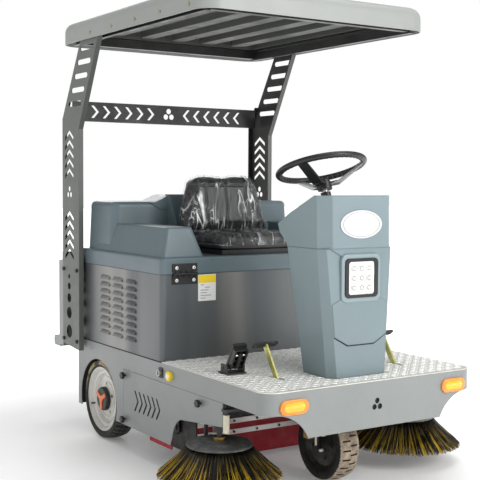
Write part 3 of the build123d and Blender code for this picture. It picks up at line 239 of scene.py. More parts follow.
def brushed(name, base, rough=0.32, stretch=(1, 1, 1), grain=30.0, depth=0.00006, edge=0.001, dust=0.1,
            metallic=1.0):
    """Metal with fine lines along one direction and a little dust."""
    s = Shader(name)
    s.set(Metallic=metallic)
    lines = s.noise(grain, 4.0, 0.6, s.mapping(stretch))
    cover = s.ramp(s.noise(14.0, 5.0, 0.6), [(0.45, 0.0), (0.8, dust)])
    tone = s.ramp(lines, [(0.2, tint(base, 0.82)), (0.8, tint(base, 1.12))])
    s.colour(s.mix(cover, tone, (0.35, 0.32, 0.28)))
    s.rough(s.ramp(lines, [(0.2, rough - 0.10), (0.8, rough + 0.12)]))
    s.bump(lines, depth, 1.0, edge)
    return s.mat


MAT["zinc"] = brushed("Zinc", lin(204, 196, 164), 0.3, (1, 1, 1), 90)
MAT["bright_steel"] = brushed("BrightSteel", lin(196, 196, 194), 0.22, (1, 1, 40))
MAT["strip_aluminium"] = brushed("StripAluminium", lin(222, 218, 216), 0.38, (1, 40, 1), 60)
MAT["yellow_zinc"] = brushed("YellowZinc", lin(206, 204, 128), 0.34, (1, 1, 1), 40, metallic=0.75)


def cabinet_material():
    """Satin dark grey brushed and lacquered sheet, with soft vertical light and dark bands in its colour that
    are painted reflections.
    """
    s = Shader("CabinetMetal")
    s.set(Metallic=0.55)
    s.set(Coat_Weight=0.25, Coat_Roughness=0.25)
    reflection_bands = s.noise(3.1, 1.0, 0.4, s.mapping((1.0, 1.0, 0.06), (0.35, 0.1, 0.0)), 0.6)
    fine = s.noise(55.0, 4.0, 0.6, s.mapping((30, 30, 1)))
    # painted reflection: vertical bands from dark blue-grey to light grey stand for the studio reflected in
    # the sheet
    colour = s.ramp(reflection_bands, [(0.36, lin(80, 86, 90)), (0.50, lin(104, 107, 108)), (0.62, lin(142, 141, 138))])
    colour = s.mix(0.16, colour, s.ramp(fine, [(0.3, lin(92, 93, 93)), (0.7, lin(132, 131, 129))]))
    s.colour(colour)
    s.rough(s.ramp(fine, [(0.2, 0.34), (0.8, 0.52)]))
    s.bump(fine, 0.00004, 1.0, 0.0018)
    return s.mat


MAT["cabinet_metal"] = cabinet_material()


def checker_material():
    s = Shader("CheckerPlate")
    s.set(Metallic=0.30)
    grain = s.noise(24.0, 5.0, 0.6, s.mapping((8, 1, 1)))
    wear = s.noise(3.2, 6.0, 0.7)
    colour = s.ramp(wear, [(0.25, lin(196, 196, 186)), (0.75, lin(228, 227, 219))])
    scuff = s.ramp(s.noise(42.0, 6.0, 0.75), [(0.52, 0.0), (0.72, 1.0)])
    s.colour(s.mix(s.math("MULTIPLY", scuff, 0.30), colour, lin(150, 146, 128)))
    s.rough(s.ramp(grain, [(0.2, 0.26), (0.8, 0.46)]))
    s.bump(grain, 0.00012, 1.0, 0.001)
    return s.mat


MAT["checker_plate"] = checker_material()
# painted highlight: the raised lozenges get a separate, much lighter copy of the plate metal for the light
# they catch
MAT["checker_raised"] = brushed("CheckerRaised", lin(252, 252, 247), 0.28, (1, 1, 1), 60, 0.00004, 0.0006,
                                0.05, 0.25)


def lens_material(name, colour, emit, strength, rough=0.16, ribs=(1, 1, 260), rib_depth=0.0006):
    s = Shader(name)
    s.set(Roughness=rough, Coat_Weight=0.8, Emission_Strength=strength)
    wave = s.nodes.new("ShaderNodeTexWave")
    wave.wave_type = "BANDS"
    wave.bands_direction = "Z"
    wave.inputs["Scale"].default_value = 1.0
    s.links.new(s.mapping(ribs), wave.inputs["Vector"])
    patch = s.noise(22.0, 4.0, 0.6)
    s.colour(s.ramp(patch, [(0.3, tint(colour, 0.82)), (0.7, tint(colour, 1.15))]))
    s.links.new(s.ramp(patch, [(0.3, tint(emit, 0.8)), (0.7, emit)]), s.bsdf.inputs["Emission Color"])
    s.bump(wave.outputs["Fac"], rib_depth, 0.7, 0.0015)
    return s.mat


MAT["amber_lens"] = lens_material("AmberLens", lin(236, 146, 12), lin(240, 120, 0), 0.16)
# painted reflection: a lighter and more glowing copy of the amber lens for the reflector's bright middle
MAT["amber_core"] = lens_material("AmberCore", lin(248, 182, 22), lin(250, 160, 8), 0.20, 0.12,
                                  (1, 320, 1), 0.0008)
MAT["lamp_lens"] = lens_material("LampLens", lin(226, 226, 222), lin(255, 255, 250), 0.04, 0.10,
                                 (1, 1, 1), 0.0)
MAT["lamp_glow"] = lens_material("LampGlow", lin(255, 255, 250), lin(255, 255, 248), 1.1, 0.1,
                                 (1, 1, 1), 0.0)


def rubber_material(name, base, dust=0.35, dust_colour=lin(176, 160, 138), low=0.44, high=0.7, rough=0.72):
    """Matt rubber with dried dust in patches."""
    s = Shader(name)
    speck = s.ramp(s.noise(30.0, 7.0, 0.7), [(low, 0.0), (high, 1.0)])
    tone = s.ramp(s.noise(5.0, 4.0, 0.6), [(0.3, tint(base, 0.8)), (0.7, tint(base, 1.25))])
    s.colour(s.mix(s.math("MULTIPLY", speck, dust), tone, dust_colour))
    s.rough(s.ramp(s.noise(12.0, 4.0, 0.6), [(0.3, rough - 0.12), (0.7, min(1, rough + 0.12))]))
    s.bump(s.noise(340.0, 3.0, 0.6), 0.0002, 1.0, 0.0012)
    return s.mat


MAT["tyre"] = rubber_material("TyreRubber", lin(40, 39, 37), 0.20)


def rear_tyre_material():
    """Black sidewall, dried dust round the upper shoulder and a grooved tread."""
    s = Shader("RearTyre")
    x, y, z = s.xyz()
    dx = s.math("ADD", x, -REAR_AXLE.x)
    dz = s.math("ADD", z, -REAR_AXLE.z)
    radius = s.math("SQRT", s.math("ADD", s.math("MULTIPLY", dx, dx), s.math("MULTIPLY", dz, dz)))
    turn = s.math("ARCTAN2", dz, dx)
    outer = s.rising(radius, 90.0, -14.3, 0.2)
    upper = s.rising(dz, 22.0, -0.2, 0.2)
    patch = s.ramp(s.noise(15.0, 5.0, 0.62), [(0.36, 0.0), (0.50, 1.0)])
    dust = s.math("MULTIPLY", s.math("MULTIPLY", outer, upper), patch)
    base = s.ramp(s.noise(40.0, 5.0, 0.6), [(0.3, lin(26, 26, 25)), (0.7, lin(44, 43, 41))])
    tone = s.ramp(s.noise(60.0, 5.0, 0.65), [(0.3, lin(158, 132, 92)), (0.7, lin(216, 196, 158))])
    lugs = 42
    lug = s.math("FRACT", s.math("MULTIPLY_ADD", y, 9.0, s.math("MULTIPLY", turn, lugs / (2 * math.pi))))
    groove = s.math("LESS_THAN", lug, 0.22)
    tread = s.math("MULTIPLY", groove, s.math("GREATER_THAN", radius, 0.1800))
    colour = s.mix(dust, base, tone)
    colour = s.mix(s.math("MULTIPLY", tread, 0.8), colour, lin(104, 98, 90))
    s.colour(colour)
    s.rough(s.ramp(s.noise(30.0, 4.0, 0.6), [(0.3, 0.58), (0.7, 0.82)]))
    s.bump(s.math("MULTIPLY_ADD", tread, -4.0, s.noise(90.0, 4.0, 0.6)), 0.0008, 0.8, 0.0012)
    return s.mat


MAT["rear_tyre"] = rear_tyre_material()
MAT["tyre_tread"] = rubber_material("TyreTread", lin(96, 84, 72), 0.85, lin(186, 168, 144), 0.34, 0.62)
MAT["tyre_black"] = rubber_material("TyreBlack", lin(12, 12, 12), 0.05)
MAT["red_rubber"] = rubber_material("RedRubber", lin(150, 26, 40), 0.16, lin(170, 120, 112))
MAT["bristle"] = rubber_material("BristleBlack", lin(16, 15, 13), 0.03, rough=0.34)
MAT["vinyl"] = rubber_material("Vinyl", lin(30, 30, 31), 0.05, lin(120, 120, 120), rough=0.42)
MAT["black_pad"] = rubber_material("BlackPad", lin(26, 26, 27), 0.15)
MAT["cream"] = worn("CreamRoller", lin(220, 214, 190), 0.42, 0.08, 260, 0.0001, 0.002, dust=0.3, cloud=12)
MAT["orange"] = worn("OrangeCap", lin(244, 122, 62), 0.36, 0.07, 260, 0.00008, 0.002, dust=0.05, cloud=12)
MAT["silver_spoke"] = brushed("SilverSpoke", lin(206, 208, 208), 0.26, (40, 40, 40), 6)
MAT["brass"] = brushed("BrassNut", lin(196, 164, 96), 0.3, (1, 1, 1), 60)


def yellow_bristle_material():
    """Yellow filament, shaded black where it is packed together under the disc."""
    s = Shader("BristleYellow")
    root = s.rising(s.xyz()[2], 16.0, -1.75, 0.1)
    tone = s.ramp(s.noise(70.0, 4.0, 0.6), [(0.3, lin(176, 138, 14)), (0.7, lin(238, 200, 40))])
    s.colour(s.mix(root, tone, lin(58, 46, 12)))
    s.rough(s.ramp(s.noise(50.0, 3.0, 0.5), [(0.3, 0.30), (0.7, 0.46)]))
    s.bump(s.noise(240.0, 2.0, 0.5), 0.0001, 0.6)
    return s.mat


MAT["bristle_yellow"] = yellow_bristle_material()
MAT["white_screw"] = brushed("WhiteScrew", lin(240, 240, 238), 0.3, (1, 1, 1), 60, metallic=0.4)

# ---- materials on the CAD nodes
for entry in frame["record"]["subparts"]:
    node = nodes[entry["node"]]
    node.data.materials.clear()
    node.data.materials.append(MAT[entry["material_slot"]])


def repaint(name, key, chosen):
    """Give the faces for which chosen(centre, normal) is true another material; no vertex is touched."""
    mesh = nodes[name].data
    mesh.materials.append(MAT[key])
    index = len(mesh.materials) - 1
    for face in mesh.polygons:
        if chosen(face.center, face.normal):
            face.material_index = index


def near(u, v, centre, radius):
    return math.hypot(u - centre[0], v - centre[1]) < radius


LEVER_FOOT = Vector((0.690, 0, 0.430))
LEVER_AHEAD = Vector((-0.5476, 0, 0.8368))
GRIP_FROM = 0.1738
KNOBS_XZ = ((-0.203, 0.349), (-0.205, 0.149), (0.461, 0.345))

for side, suffix in SIDES:
    repaint(f"side_door_{suffix}", "dark_plastic",
            lambda c, n, side=side: side * c.y > 0.5201 and any(near(c.x, c.z, at, 0.02) for at in KNOBS_XZ))
    repaint(f"hub_cap_{suffix}", "orange", lambda c, n, side=side: side * c.y > 0.5055)
    repaint(f"lift_lever_{suffix}", "black_pad",
            lambda c, n: (c - LEVER_FOOT).dot(LEVER_AHEAD) > GRIP_FROM)
    repaint(f"rear_rim_{suffix}", "dark_plastic", lambda c, n, side=side: side * c.y < 0.45)

POST_X = -0.7125
KINK_Z = 1.497


def post_middle(z):
    """X of a canopy post's middle line: upright below the kink, leaning forward above it."""
    return POST_X + 0.2336 * max(0.0, z - KINK_Z) / 0.418


for side, suffix in SIDES:
    def inside_channel(c, n, side=side):
        ahead = c.x - post_middle(c.z)
        return side * n.y < -0.3 or (ahead > 0 and n.x < -0.3) or (ahead < 0 and n.x > 0.3)

    repaint(f"post_{suffix}", "post_grey", lambda c, n: True)
    # painted shade: faces inside each post's channel are painted near-black
    repaint(f"post_{suffix}", "post_inside_shade", inside_channel)
    # painted shade: the forward faces of the leaning upper flange are painted darker
    repaint(f"post_{suffix}", "post_shade",
            lambda c, n: c.z > 1.49 and n.x > 0.6 and c.x > post_middle(c.z) + 0.06)
    repaint(f"rear_tyre_{suffix}", "rear_tyre", lambda c, n: True)
repaint("chassis_frame", "cream",
        lambda c, n: near(c.x, abs(c.y), (0.645, 0.515), 0.0128) and 0.2625 < c.z < 0.3335)
repaint("front_tyre", "tyre_black", lambda c, n: True)


def on_tread_top(c, n):
    reach = Vector((c.x - FRONT_AXLE.x, 0, c.z - FRONT_AXLE.z))
    outside = reach.length > 0.1425 and n.dot(reach.normalized()) > 0.5
    return outside and (reach.length > 0.1445 or abs(c.y) > 0.034)


repaint("front_tyre", "tyre_tread", on_tread_top)
repaint("top_cover", "cover_plastic", lambda c, n: True)
repaint("canopy_fasteners", "dark_bolt", lambda c, n: c.z < 1.0)
repaint("accelerator_pedal", "bright_steel",
        lambda c, n: near(c.x, c.z, (0.5626, 0.5404), 0.0056) and abs(c.y + 0.402) < 0.0305)
repaint("charge_socket", "bright_steel",
        lambda c, n: near(c.x, c.z, (0.136, 0.415), 0.0136) and abs(c.y) > 0.5245)
for side, suffix in SIDES:
    repaint(f"side_brush_disc_{suffix}", "brass",
            lambda c, n, y=side * SIDE_BRUSH_Y: near(c.x, c.y, (SIDE_BRUSH_X, y), 0.0245) and c.z > 0.2085)


def on_spoke_top(c, n):
    rel = c - WHEEL_AT
    flat = rel - STEER_UP * rel.dot(STEER_UP)
    angle = math.degrees(math.atan2(flat.y, flat.dot(STEER_AHEAD)))
    least = 0.25 if abs(angle - FIRST_SPOKE) < 25 else -0.3
    return 0.052 < flat.length < 0.150 and n.dot(STEER_UP) > least


repaint("steering_wheel", "silver_spoke", on_spoke_top)


# ---- mesh helpers
def placed(name, data):
    """New object around the data, linked into the scene."""
    obj = bpy.data.objects.new(name, data)
    bpy.context.scene.collection.objects.link(obj)
    return obj


def finish_mesh(name, bm, mats, body, smooth):
    """Turn bm into a piece that rides a body; smooth is the angle up to which edges are shaded smooth."""
    mesh = bpy.data.meshes.new(name)
    bm.to_mesh(mesh)
    bm.free()
    obj = placed(name, mesh)
    for key in mats if isinstance(mats, (list, tuple)) else [mats]:
        mesh.materials.append(MAT[key])
    if smooth:
        mesh.shade_smooth()
        mesh.set_sharp_from_angle(angle=math.radians(smooth))
    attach(obj, body)
    return obj


def box(bm, low, high, matrix=None, index=0):
    made = bmesh.ops.create_cube(bm, size=1.0)["verts"]
    low, high = Vector(low), Vector(high)
    centre, size = (low + high) / 2, high - low
    for v in made:
        v.co = Vector((v.co.x * size.x, v.co.y * size.y, v.co.z * size.z)) + centre
        if matrix:
            v.co = matrix @ v.co
    for face in {f for v in made for f in v.link_faces}:
        face.material_index = index
    return made


def tube(bm, start, end, r0, r1, sides=16, index=0, caps=True):
    start, end = Vector(start), Vector(end)
    made = bmesh.ops.create_cone(bm, cap_ends=caps, cap_tris=False, segments=sides, radius1=r0, radius2=r1,
                                 depth=(end - start).length)["verts"]
    turn = (end - start).to_track_quat("Z", "Y").to_matrix().to_4x4()
    matrix = Matrix.Translation((start + end) / 2) @ turn
    for v in made:
        v.co = matrix @ v.co
    for face in {f for v in made for f in v.link_faces}:
        face.material_index = index
    return made


def bevel(bm, width, segments=2, angle=35.0):
    edges = [e for e in bm.edges if len(e.link_faces) == 2 and e.calc_face_angle(0) > math.radians(angle)]
    bmesh.ops.bevel(bm, geom=edges, offset=width, segments=segments, profile=0.6, affect="EDGES",
                    clamp_overlap=True)


def turns(count):
    """Angles of count equal steps round a circle."""
    return (2 * math.pi * k / count for k in range(count))


def band(bm, one, two, index=0):
    """Quads between two closed loops with as many points each."""
    count = len(one)
    for k in range(count):
        m = (k + 1) % count
        bm.faces.new((one[k], one[m], two[m], two[k])).material_index = index


def wheel_ring(bm, centre, profile, index=0, sides=72):
    """Surface of revolution about the Y line through centre; profile holds pairs of radius and Y offset."""
    loops = [[bm.verts.new(centre + Vector((r * math.cos(a), y, r * math.sin(a)))) for a in turns(sides)]
             for r, y in profile]
    for one, two in zip(loops, loops[1:]):
        band(bm, one, two, index)


# ---- deck: raised lozenges of the plate
DECK_TOP = 0.46095
DECK_FRONT, DECK_HALF = 0.906, 0.508
DECK_CORNER_X, DECK_CORNER_Y, DECK_CORNER_R = 0.855, 0.455, 0.052
LOZENGE_PITCH = 0.0245


def deck_is_free(x, y):
    """True where the plate is bare: inside its edge, clear of lever slots, column and pedal."""
    over = x > DECK_CORNER_X and abs(y) > DECK_CORNER_Y
    if x > DECK_FRONT or abs(y) > DECK_HALF:
        return False
    if over and math.hypot(x - DECK_CORNER_X, abs(y) - DECK_CORNER_Y) > DECK_CORNER_R:
        return False
    if abs(x - 0.682) < 0.052 and abs(abs(y) - 0.302) < 0.016:
        return False
    column = 0.632 < x < 0.828 and abs(y) < 0.152
    pedal = 0.446 < x < 0.556 and -0.452 < y < -0.352
    return not (column or pedal)


def deck_pattern():
    bm = bmesh.new()
    for i in range(int(0.775 / LOZENGE_PITCH) + 1):
        for j in range(int(1.02 / LOZENGE_PITCH) + 1):
            x = 0.1500 + i * LOZENGE_PITCH
            y = -0.504 + j * LOZENGE_PITCH
            if not deck_is_free(x, y):
                continue
            turn = math.radians(45 if (i + j) % 2 else -45)
            ring = []
            for long, short, height in ((0.0150, 0.0052, 0.0), (0.0122, 0.0029, 0.0021)):
                loop = []
                for ang in turns(10):
                    px = long * math.cos(ang)
                    py = short * math.sin(ang) * (1 - 0.25 * abs(math.cos(ang)))
                    loop.append(bm.verts.new((x + px * math.cos(turn) - py * math.sin(turn),
                                              y + px * math.sin(turn) + py * math.cos(turn),
                                              DECK_TOP + height)))
                ring.append(loop)
            band(bm, ring[0], ring[1])
            bm.faces.new(ring[1])
    finish_mesh("deck_lozenges", bm, "checker_raised", "chassis", 50)


deck_pattern()


# ---- bristles as single strands
def strand(bm, points, radius, index, sides=3):
    loops = []
    for k, p in enumerate(points):
        r = radius * (1.0 - 0.35 * k / (len(points) - 1))
        direction = (points[min(k + 1, len(points) - 1)] - points[max(k - 1, 0)]).normalized()
        side = direction.orthogonal().normalized()
        other = direction.cross(side)
        loops.append([bm.verts.new(p + (side * math.cos(a) + other * math.sin(a)) * r) for a in turns(sides)])
    for a, b in zip(loops, loops[1:]):
        band(bm, a, b, index)
    for loop, flip in ((loops[0], True), (loops[-1], False)):
        face = bm.faces.new(loop[::-1] if flip else loop)
        face.material_index = index


ROOT_Z, TIP_Z = 0.192, 0.0695
MASS_PROFILE = ((0.094, 0.191), (0.106, 0.187), (0.150, 0.144), (0.200, 0.096), (0.190, 0.088),
                (0.140, 0.124), (0.096, 0.164))


def side_bristles(suffix, side):
    bm = bmesh.new()
    rng = random.Random(11 if side < 0 else 23)
    centre = Vector((SIDE_BRUSH_X, side * SIDE_BRUSH_Y, 0.0))
    tufts = 66
    per_tuft = 26
    for ring_index, (root_r, tip_r, drop) in enumerate(((0.117, 0.243, 0.0), (0.103, 0.222, 0.004))):
        for k in range(tufts):
            base = 2 * math.pi * (k + 0.5 * ring_index) / tufts
            yellow_share = 0.14 if k % 2 else 0.42
            for _ in range(per_tuft):
                around = base + rng.gauss(0, 0.016)
                spread = rng.gauss(0, 0.018)
                twist = 0.03 + rng.gauss(0, 0.05)
                r_end = tip_r + rng.uniform(-0.016, 0.006)
                z_end = TIP_Z + drop + (0.250 - r_end) * 0.12 + rng.uniform(0, 0.009)
                r0 = root_r + rng.uniform(-0.007, 0.007)
                points = []
                for t in (0, 0.22, 0.45, 0.7, 1.0):
                    r = r0 + (r_end - r0) * (0.90 * t + 0.10 * t * t)
                    z = ROOT_Z + (z_end - ROOT_Z) * (1.03 * t - 0.03 * t * t)
                    a = around + spread * t + twist * t * t * 0.5
                    points.append(centre + Vector((r * math.cos(a), r * math.sin(a), z)))
                strand(bm, points, 0.00135, 1 if rng.random() < yellow_share else 0)
    # the closely packed inner bristles read as one dark mass under the loose outer ones
    loops = []
    for radius, z in MASS_PROFILE:
        loop = []
        for a in turns(264):
            r = radius * (1 + 0.018 * math.sin(41 * a))
            loop.append(bm.verts.new(centre + Vector((r * math.cos(a), r * math.sin(a), z))))
        loops.append(loop)
    for one, two in zip(loops, loops[1:] + loops[:1]):
        band(bm, one, two)
    obj = finish_mesh(f"side_brush_strands_{suffix}", bm, ["bristle", "bristle_yellow"],
                      f"side_brush_{suffix}", 0)
    obj.data.shade_smooth()
    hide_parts(f"side_bristles_{suffix}")


for side, suffix in SIDES:
    side_bristles(suffix, side)


def roller_bristles():
    bm = bmesh.new()
    rng = random.Random(5)
    half = 0.334
    root, tip = 0.050, 0.1285
    core, shaft = Vector((0, 0.345, 0)), Vector((0, 0.383, 0))
    tube(bm, ROLLER_AXLE - core, ROLLER_AXLE + core, 0.052, 0.052, 40, 0)
    tube(bm, ROLLER_AXLE - shaft, ROLLER_AXLE + shaft, 0.0139, 0.0139, 24, 2)
    rows = 12
    steps = 62
    for row in range(rows):
        for step in range(steps):
            y = -half + 2 * half * step / (steps - 1)
            sweep = math.pi * 0.42 * (1 - abs(y) / half)
            base = 2 * math.pi * row / rows + sweep * 0.35
            for _ in range(5):
                a = base + rng.gauss(0, 0.03)
                lean = rng.gauss(0, 0.05)
                yy = y + rng.uniform(-0.006, 0.006)
                points = []
                for t in (0, 0.5, 1.0):
                    r = root + (tip - rng.uniform(0, 0.003) - root) * t
                    ang = a + lean * t
                    along = yy + rng.gauss(0, 0.002) * t
                    points.append(ROLLER_AXLE + Vector((r * math.cos(ang), along, r * math.sin(ang))))
                strand(bm, points, 0.0012, 1 if rng.random() < 0.3 else 0)
    obj = finish_mesh("roller_brush_strands", bm, ["bristle", "bristle_yellow", "black_steel"],
                      "roller_brush", 40)
    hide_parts("main_brush")


roller_bristles()


# ---- small hardware seen from outside
def screw_head(bm, at, axis, radius=0.0062, height=0.003, index=0):
    """Domed cross-head screw: a low dome with a cross cut shown as a thin dark inset, its darkness painted
    shade.
    """
    at, axis = Vector(at), Vector(axis).normalized()
    tube(bm, at, at + axis * height * 0.5, radius, radius, 24, index)
    tube(bm, at + axis * height * 0.5, at + axis * height, radius, radius * 0.62, 24, index)
    side = axis.orthogonal().normalized()
    other = axis.cross(side)
    # painted shade: the cross cut is a thin raised cross in the dark seam paint, standing for the shaded
    # recess
    for a, b in ((side, other), (other, side)):
        turn = Matrix((a, b, axis)).transposed().to_4x4()
        box(bm, (-radius * 0.55, -radius * 0.10, 0), (radius * 0.55, radius * 0.10, 0.0006),
            Matrix.Translation(at + axis * (height - 0.0002)) @ turn, index + 1)


def hinge_screws():
    for body, z, x in (("cover", 0.8555, 0.1466), ("chassis", 0.8025, 0.1455)):
        bm = bmesh.new()
        for side in (-1, 1):
            for y in (-0.042, 0.042):
                screw_head(bm, (x, side * 0.410 + y, z), (1, 0, 0), 0.0075, 0.0035)
        finish_mesh(f"hinge_screws_{body}", bm, ["white_screw", "seam_dark"], body, 40)


hinge_screws()


def strip_screws():
    bm = bmesh.new()
    for x, z, s in ((0.177, 0.128, 1), (0.177, 0.176, 1), (-0.157, 0.128, -1)):
        for k in range(6):
            y = -0.300 + 0.120 * k
            tube(bm, (x + s * 0.0034, y, z), (x + s * 0.0062, y, z), 0.0066, 0.0050, 20)
    finish_mesh("strip_screws", bm, "black_steel", "chassis", 40)


strip_screws()


def label_sticker():
    """Blank two-tone sticker with a few neutral bars in place of print."""
    bm = bmesh.new()
    x, left, right, low, top = 0.1381, -0.342, -0.253, 0.708, 0.822
    box(bm, (x, left, low), (x + 0.0006, right, top), None, 1)
    box(bm, (x + 0.0006, left + 0.002, 0.786), (x + 0.0009, right - 0.002, top - 0.002), None, 0)
    bars = ((0.012, 0.030), (0.034, 0.060), (0.012, 0.052), (0.012, 0.044), (0.012, 0.066), (0.012, 0.038))
    for k, (start, end) in enumerate(bars):
        z = 0.776 - 0.0115 * k
        box(bm, (x + 0.0006, left + start, z), (x + 0.0008, left + end, z + 0.0035), None, 2)
    finish_mesh("blank_label", bm, ["yellow_label", "white_label", "grey_print"], "chassis", 0)


label_sticker()


def yellow_disc():
    """Round yellow knob on the right side panel."""
    bm = bmesh.new()
    x, z = 0.2155, 0.413
    tube(bm, (x, -0.5200, z), (x, -0.5330, z), 0.0205, 0.0200, 48, 0)
    tube(bm, (x, -0.5330, z), (x, -0.5355, z), 0.0200, 0.0170, 48, 0)
    tube(bm, (x, -0.5350, z), (x, -0.5362, z), 0.0110, 0.0100, 32, 1)
    finish_mesh("yellow_disc", bm, ["yellow_label", "white_label"], "chassis", 40)


yellow_disc()


def louvre_gills():
    """Rounded pressed gills over the louvre slots of both cabinet sides."""
    bm = bmesh.new()
    wide, tall = 14, 7
    for side in (-1, 1):
        for column_x in (-0.404, -0.274, -0.142):
            for row in range(9):
                top = 0.512 + 0.032 * row + 0.0205
                grid = []
                for j in range(tall + 1):
                    v = j / tall
                    loop = []
                    for i in range(wide + 1):
                        u = -1 + 2 * i / wide
                        swell = math.sin(math.pi / 2 * v) ** 0.8 * (1 - abs(u) ** 2.6)
                        loop.append(bm.verts.new((column_x + 0.0475 * u, side * (0.5199 + 0.0095 * swell),
                                                  top - 0.0225 * v + 0.006 * u * u * v)))
                    grid.append(loop)
                for a, b in zip(grid, grid[1:]):
                    for i in range(wide):
                        bm.faces.new((a[i], a[i + 1], b[i + 1], b[i]))
                # painted shade: the strip under each gill's lower edge takes the dark seam paint for the open
                # slot beneath it
                foot = [bm.verts.new((v.co.x, side * 0.5196, v.co.z + 0.0008)) for v in grid[-1]]
                for i in range(wide):
                    bm.faces.new((grid[-1][i], grid[-1][i + 1], foot[i + 1], foot[i])).material_index = 1
    bmesh.ops.recalc_face_normals(bm, faces=bm.faces)
    finish_mesh("louvre_gills", bm, ["cabinet_metal", "seam_dark"], "chassis", 50)


louvre_gills()


def vent_shade_plate():
    """Dark plate seen through the arrow vents of the two doors: painted shade for the inside of the machine.
    """
    for side, suffix in SIDES:
        bm = bmesh.new()
        y = side * 0.5125
        box(bm, (-0.160, y - 0.0008, 0.165), (0.215, y + 0.0008, 0.335))
        finish_mesh(f"vent_shade_plate_{suffix}", bm, "seam_dark", f"door_{suffix}", 0)


vent_shade_plate()


def arch_shade_strips():
    """Dark strip that closes the gap between each side panel's arch and the tyre: painted shade in the arch.
    """
    section = ((0.1972, 0.5160), (0.1972, 0.4200), (0.1990, 0.4200), (0.1990, 0.5160))
    arch_z = 0.184
    for side, suffix in SIDES:
        bm = bmesh.new()
        rows = []
        for k in range(41):
            a = math.radians(-14 + 208 * k / 40)
            rows.append([bm.verts.new((REAR_AXLE.x + r * math.cos(a), side * y, arch_z + r * math.sin(a)))
                         for r, y in section])
        for one, two in zip(rows, rows[1:]):
            band(bm, one, two)
        bm.faces.new(rows[0])
        bm.faces.new(rows[-1])
        bmesh.ops.recalc_face_normals(bm, faces=bm.faces)
        finish_mesh(f"arch_shade_strip_{suffix}", bm, "seam_dark", "chassis", 40)


arch_shade_strips()


def fork_links():
    """Steering stop rod, worn bracket and two bolt heads beside the front wheel."""
    bm = bmesh.new()
    tube(bm, (0.640, -0.082, 0.1560), (0.640, -0.082, 0.2300), 0.0046, 0.0046, 20, 0)
    box(bm, (0.560, -0.086, 0.1720), (0.600, -0.074, 0.2300), index=1)
    tube(bm, (0.612, -0.070, 0.1900), (0.612, -0.088, 0.1900), 0.0130, 0.0120, 24, 1)
    tube(bm, (0.660, -0.062, 0.1380), (0.660, -0.078, 0.1380), 0.0070, 0.0066, 6, 2)
    tube(bm, (0.672, -0.062, 0.2020), (0.672, -0.076, 0.2020), 0.0055, 0.0050, 6, 2)
    bevel(bm, 0.0010, 1)
    bmesh.ops.recalc_face_normals(bm, faces=bm.faces)
    finish_mesh("fork_links", bm, ["cream", "brass", "white_screw"], "fork", 40)


fork_links()


def lamp_cores():
    """Lighter, more strongly glowing amber reflector seen through the middle of each front turn lamp: a
    painted reflection.
    """
    bm = bmesh.new()
    half_straight, radius = 0.030, 0.017
    for side in (-1, 1):
        loops = []
        for x, k in ((0.9288, 1.0), (0.9294, 0.93)):
            loop = []
            for a in turns(40):
                shift = half_straight if math.cos(a) > 0 else -half_straight
                loop.append(bm.verts.new((x, side * 0.398 + shift + radius * k * math.cos(a),
                                          0.402 + radius * k * math.sin(a))))
            loops.append(loop)
        band(bm, loops[0], loops[1])
        bm.faces.new(loops[1])
    bmesh.ops.recalc_face_normals(bm, faces=bm.faces)
    finish_mesh("lamp_cores", bm, "amber_core", "chassis", 40)


lamp_cores()


def emblem_shade_plate():
    """Dark plate behind the three round holes of the apron: painted shade for the inside seen through them.
    """
    bm = bmesh.new()
    tube(bm, (0.9100, 0.0, 0.366), (0.9135, 0.0, 0.366), 0.034, 0.034, 40)
    finish_mesh("emblem_shade_plate", bm, "seam_dark", "chassis", 40)


emblem_shade_plate()


def badge_rim():
    """A thin grey line inside the edge of the blank oval badge."""
    bm = bmesh.new()
    section = ((0.90, 0.0), (0.90, 0.0004), (0.86, 0.0004), (0.86, 0.0))
    loops = [[bm.verts.new((0.8136 + out, 0.103 * scale * math.cos(a), 1.058 + 0.055 * scale * math.sin(a)))
              for a in turns(72)] for scale, out in section]
    for one, two in zip(loops, loops[1:]):
        band(bm, one, two)
    finish_mesh("badge_line", bm, "grey_print", "chassis", 40)


badge_rim()


def lamp_details():
    """Nine reflector cups with a bright emitter each, behind the flat clear cover."""
    bm = bmesh.new()
    for i in (-1, 0, 1):
        for j in (-1, 0, 1):
            y, z = 0.038 * i, 0.848 + 0.038 * j
            tube(bm, (0.8190, y, z), (0.8197, y, z), 0.0100, 0.0092, 32, 0)
            tube(bm, (0.8197, y, z), (0.8202, y, z), 0.0048, 0.0040, 28, 1)
    finish_mesh("lamp_emitters", bm, ["grey_print", "lamp_glow"], "chassis", 40)


lamp_details()


def column_face(z):
    """X of the column's front, which leans back a little towards the top."""
    return 0.820 - 0.020 * (z - 0.4612) / 0.5033


def column_creases():
    """Shadow line under the raised lower panel of the column front."""
    bm = bmesh.new()
    points = [Vector((column_face(z) - 0.0006, y, z))
              for y, z in ((-0.1320, 0.6215), (-0.0660, 0.5850), (0.0660, 0.5850), (0.1320, 0.6215))]
    for one, two in zip(points, points[1:]):
        tube(bm, one, two, 0.0030, 0.0030, 10)
    finish_mesh("column_creases", bm, "seam_dark", "chassis", 60)


column_creases()


def seam_gaskets():
    """Dark rubber lines in the joints above and below the cabinet."""
    bm = bmesh.new()
    back, front, half = -0.667, 0.138, 0.520
    back_r, front_r = 0.012, 0.020
    corners = ((front - front_r, half - front_r, front_r, 0), (back + back_r, half - back_r, back_r, 90),
               (back + back_r, -half + back_r, back_r, 180), (front - front_r, -half + front_r, front_r, 270))
    for low, top, proud in ((0.8270, 0.8300, 0.0006), (0.4555, 0.4610, 0.0004)):
        points = []
        for x, y, r, start in corners:
            for k in range(11):
                a = math.radians(start + 9 * k)
                points.append((x + (r + proud) * math.cos(a), y + (r + proud) * math.sin(a)))
        foot, head = ([bm.verts.new((x, y, z)) for x, y in points] for z in (low, top))
        band(bm, foot, head)
    finish_mesh("cabinet_seams", bm, "seam_dark", "chassis", 40)


seam_gaskets()


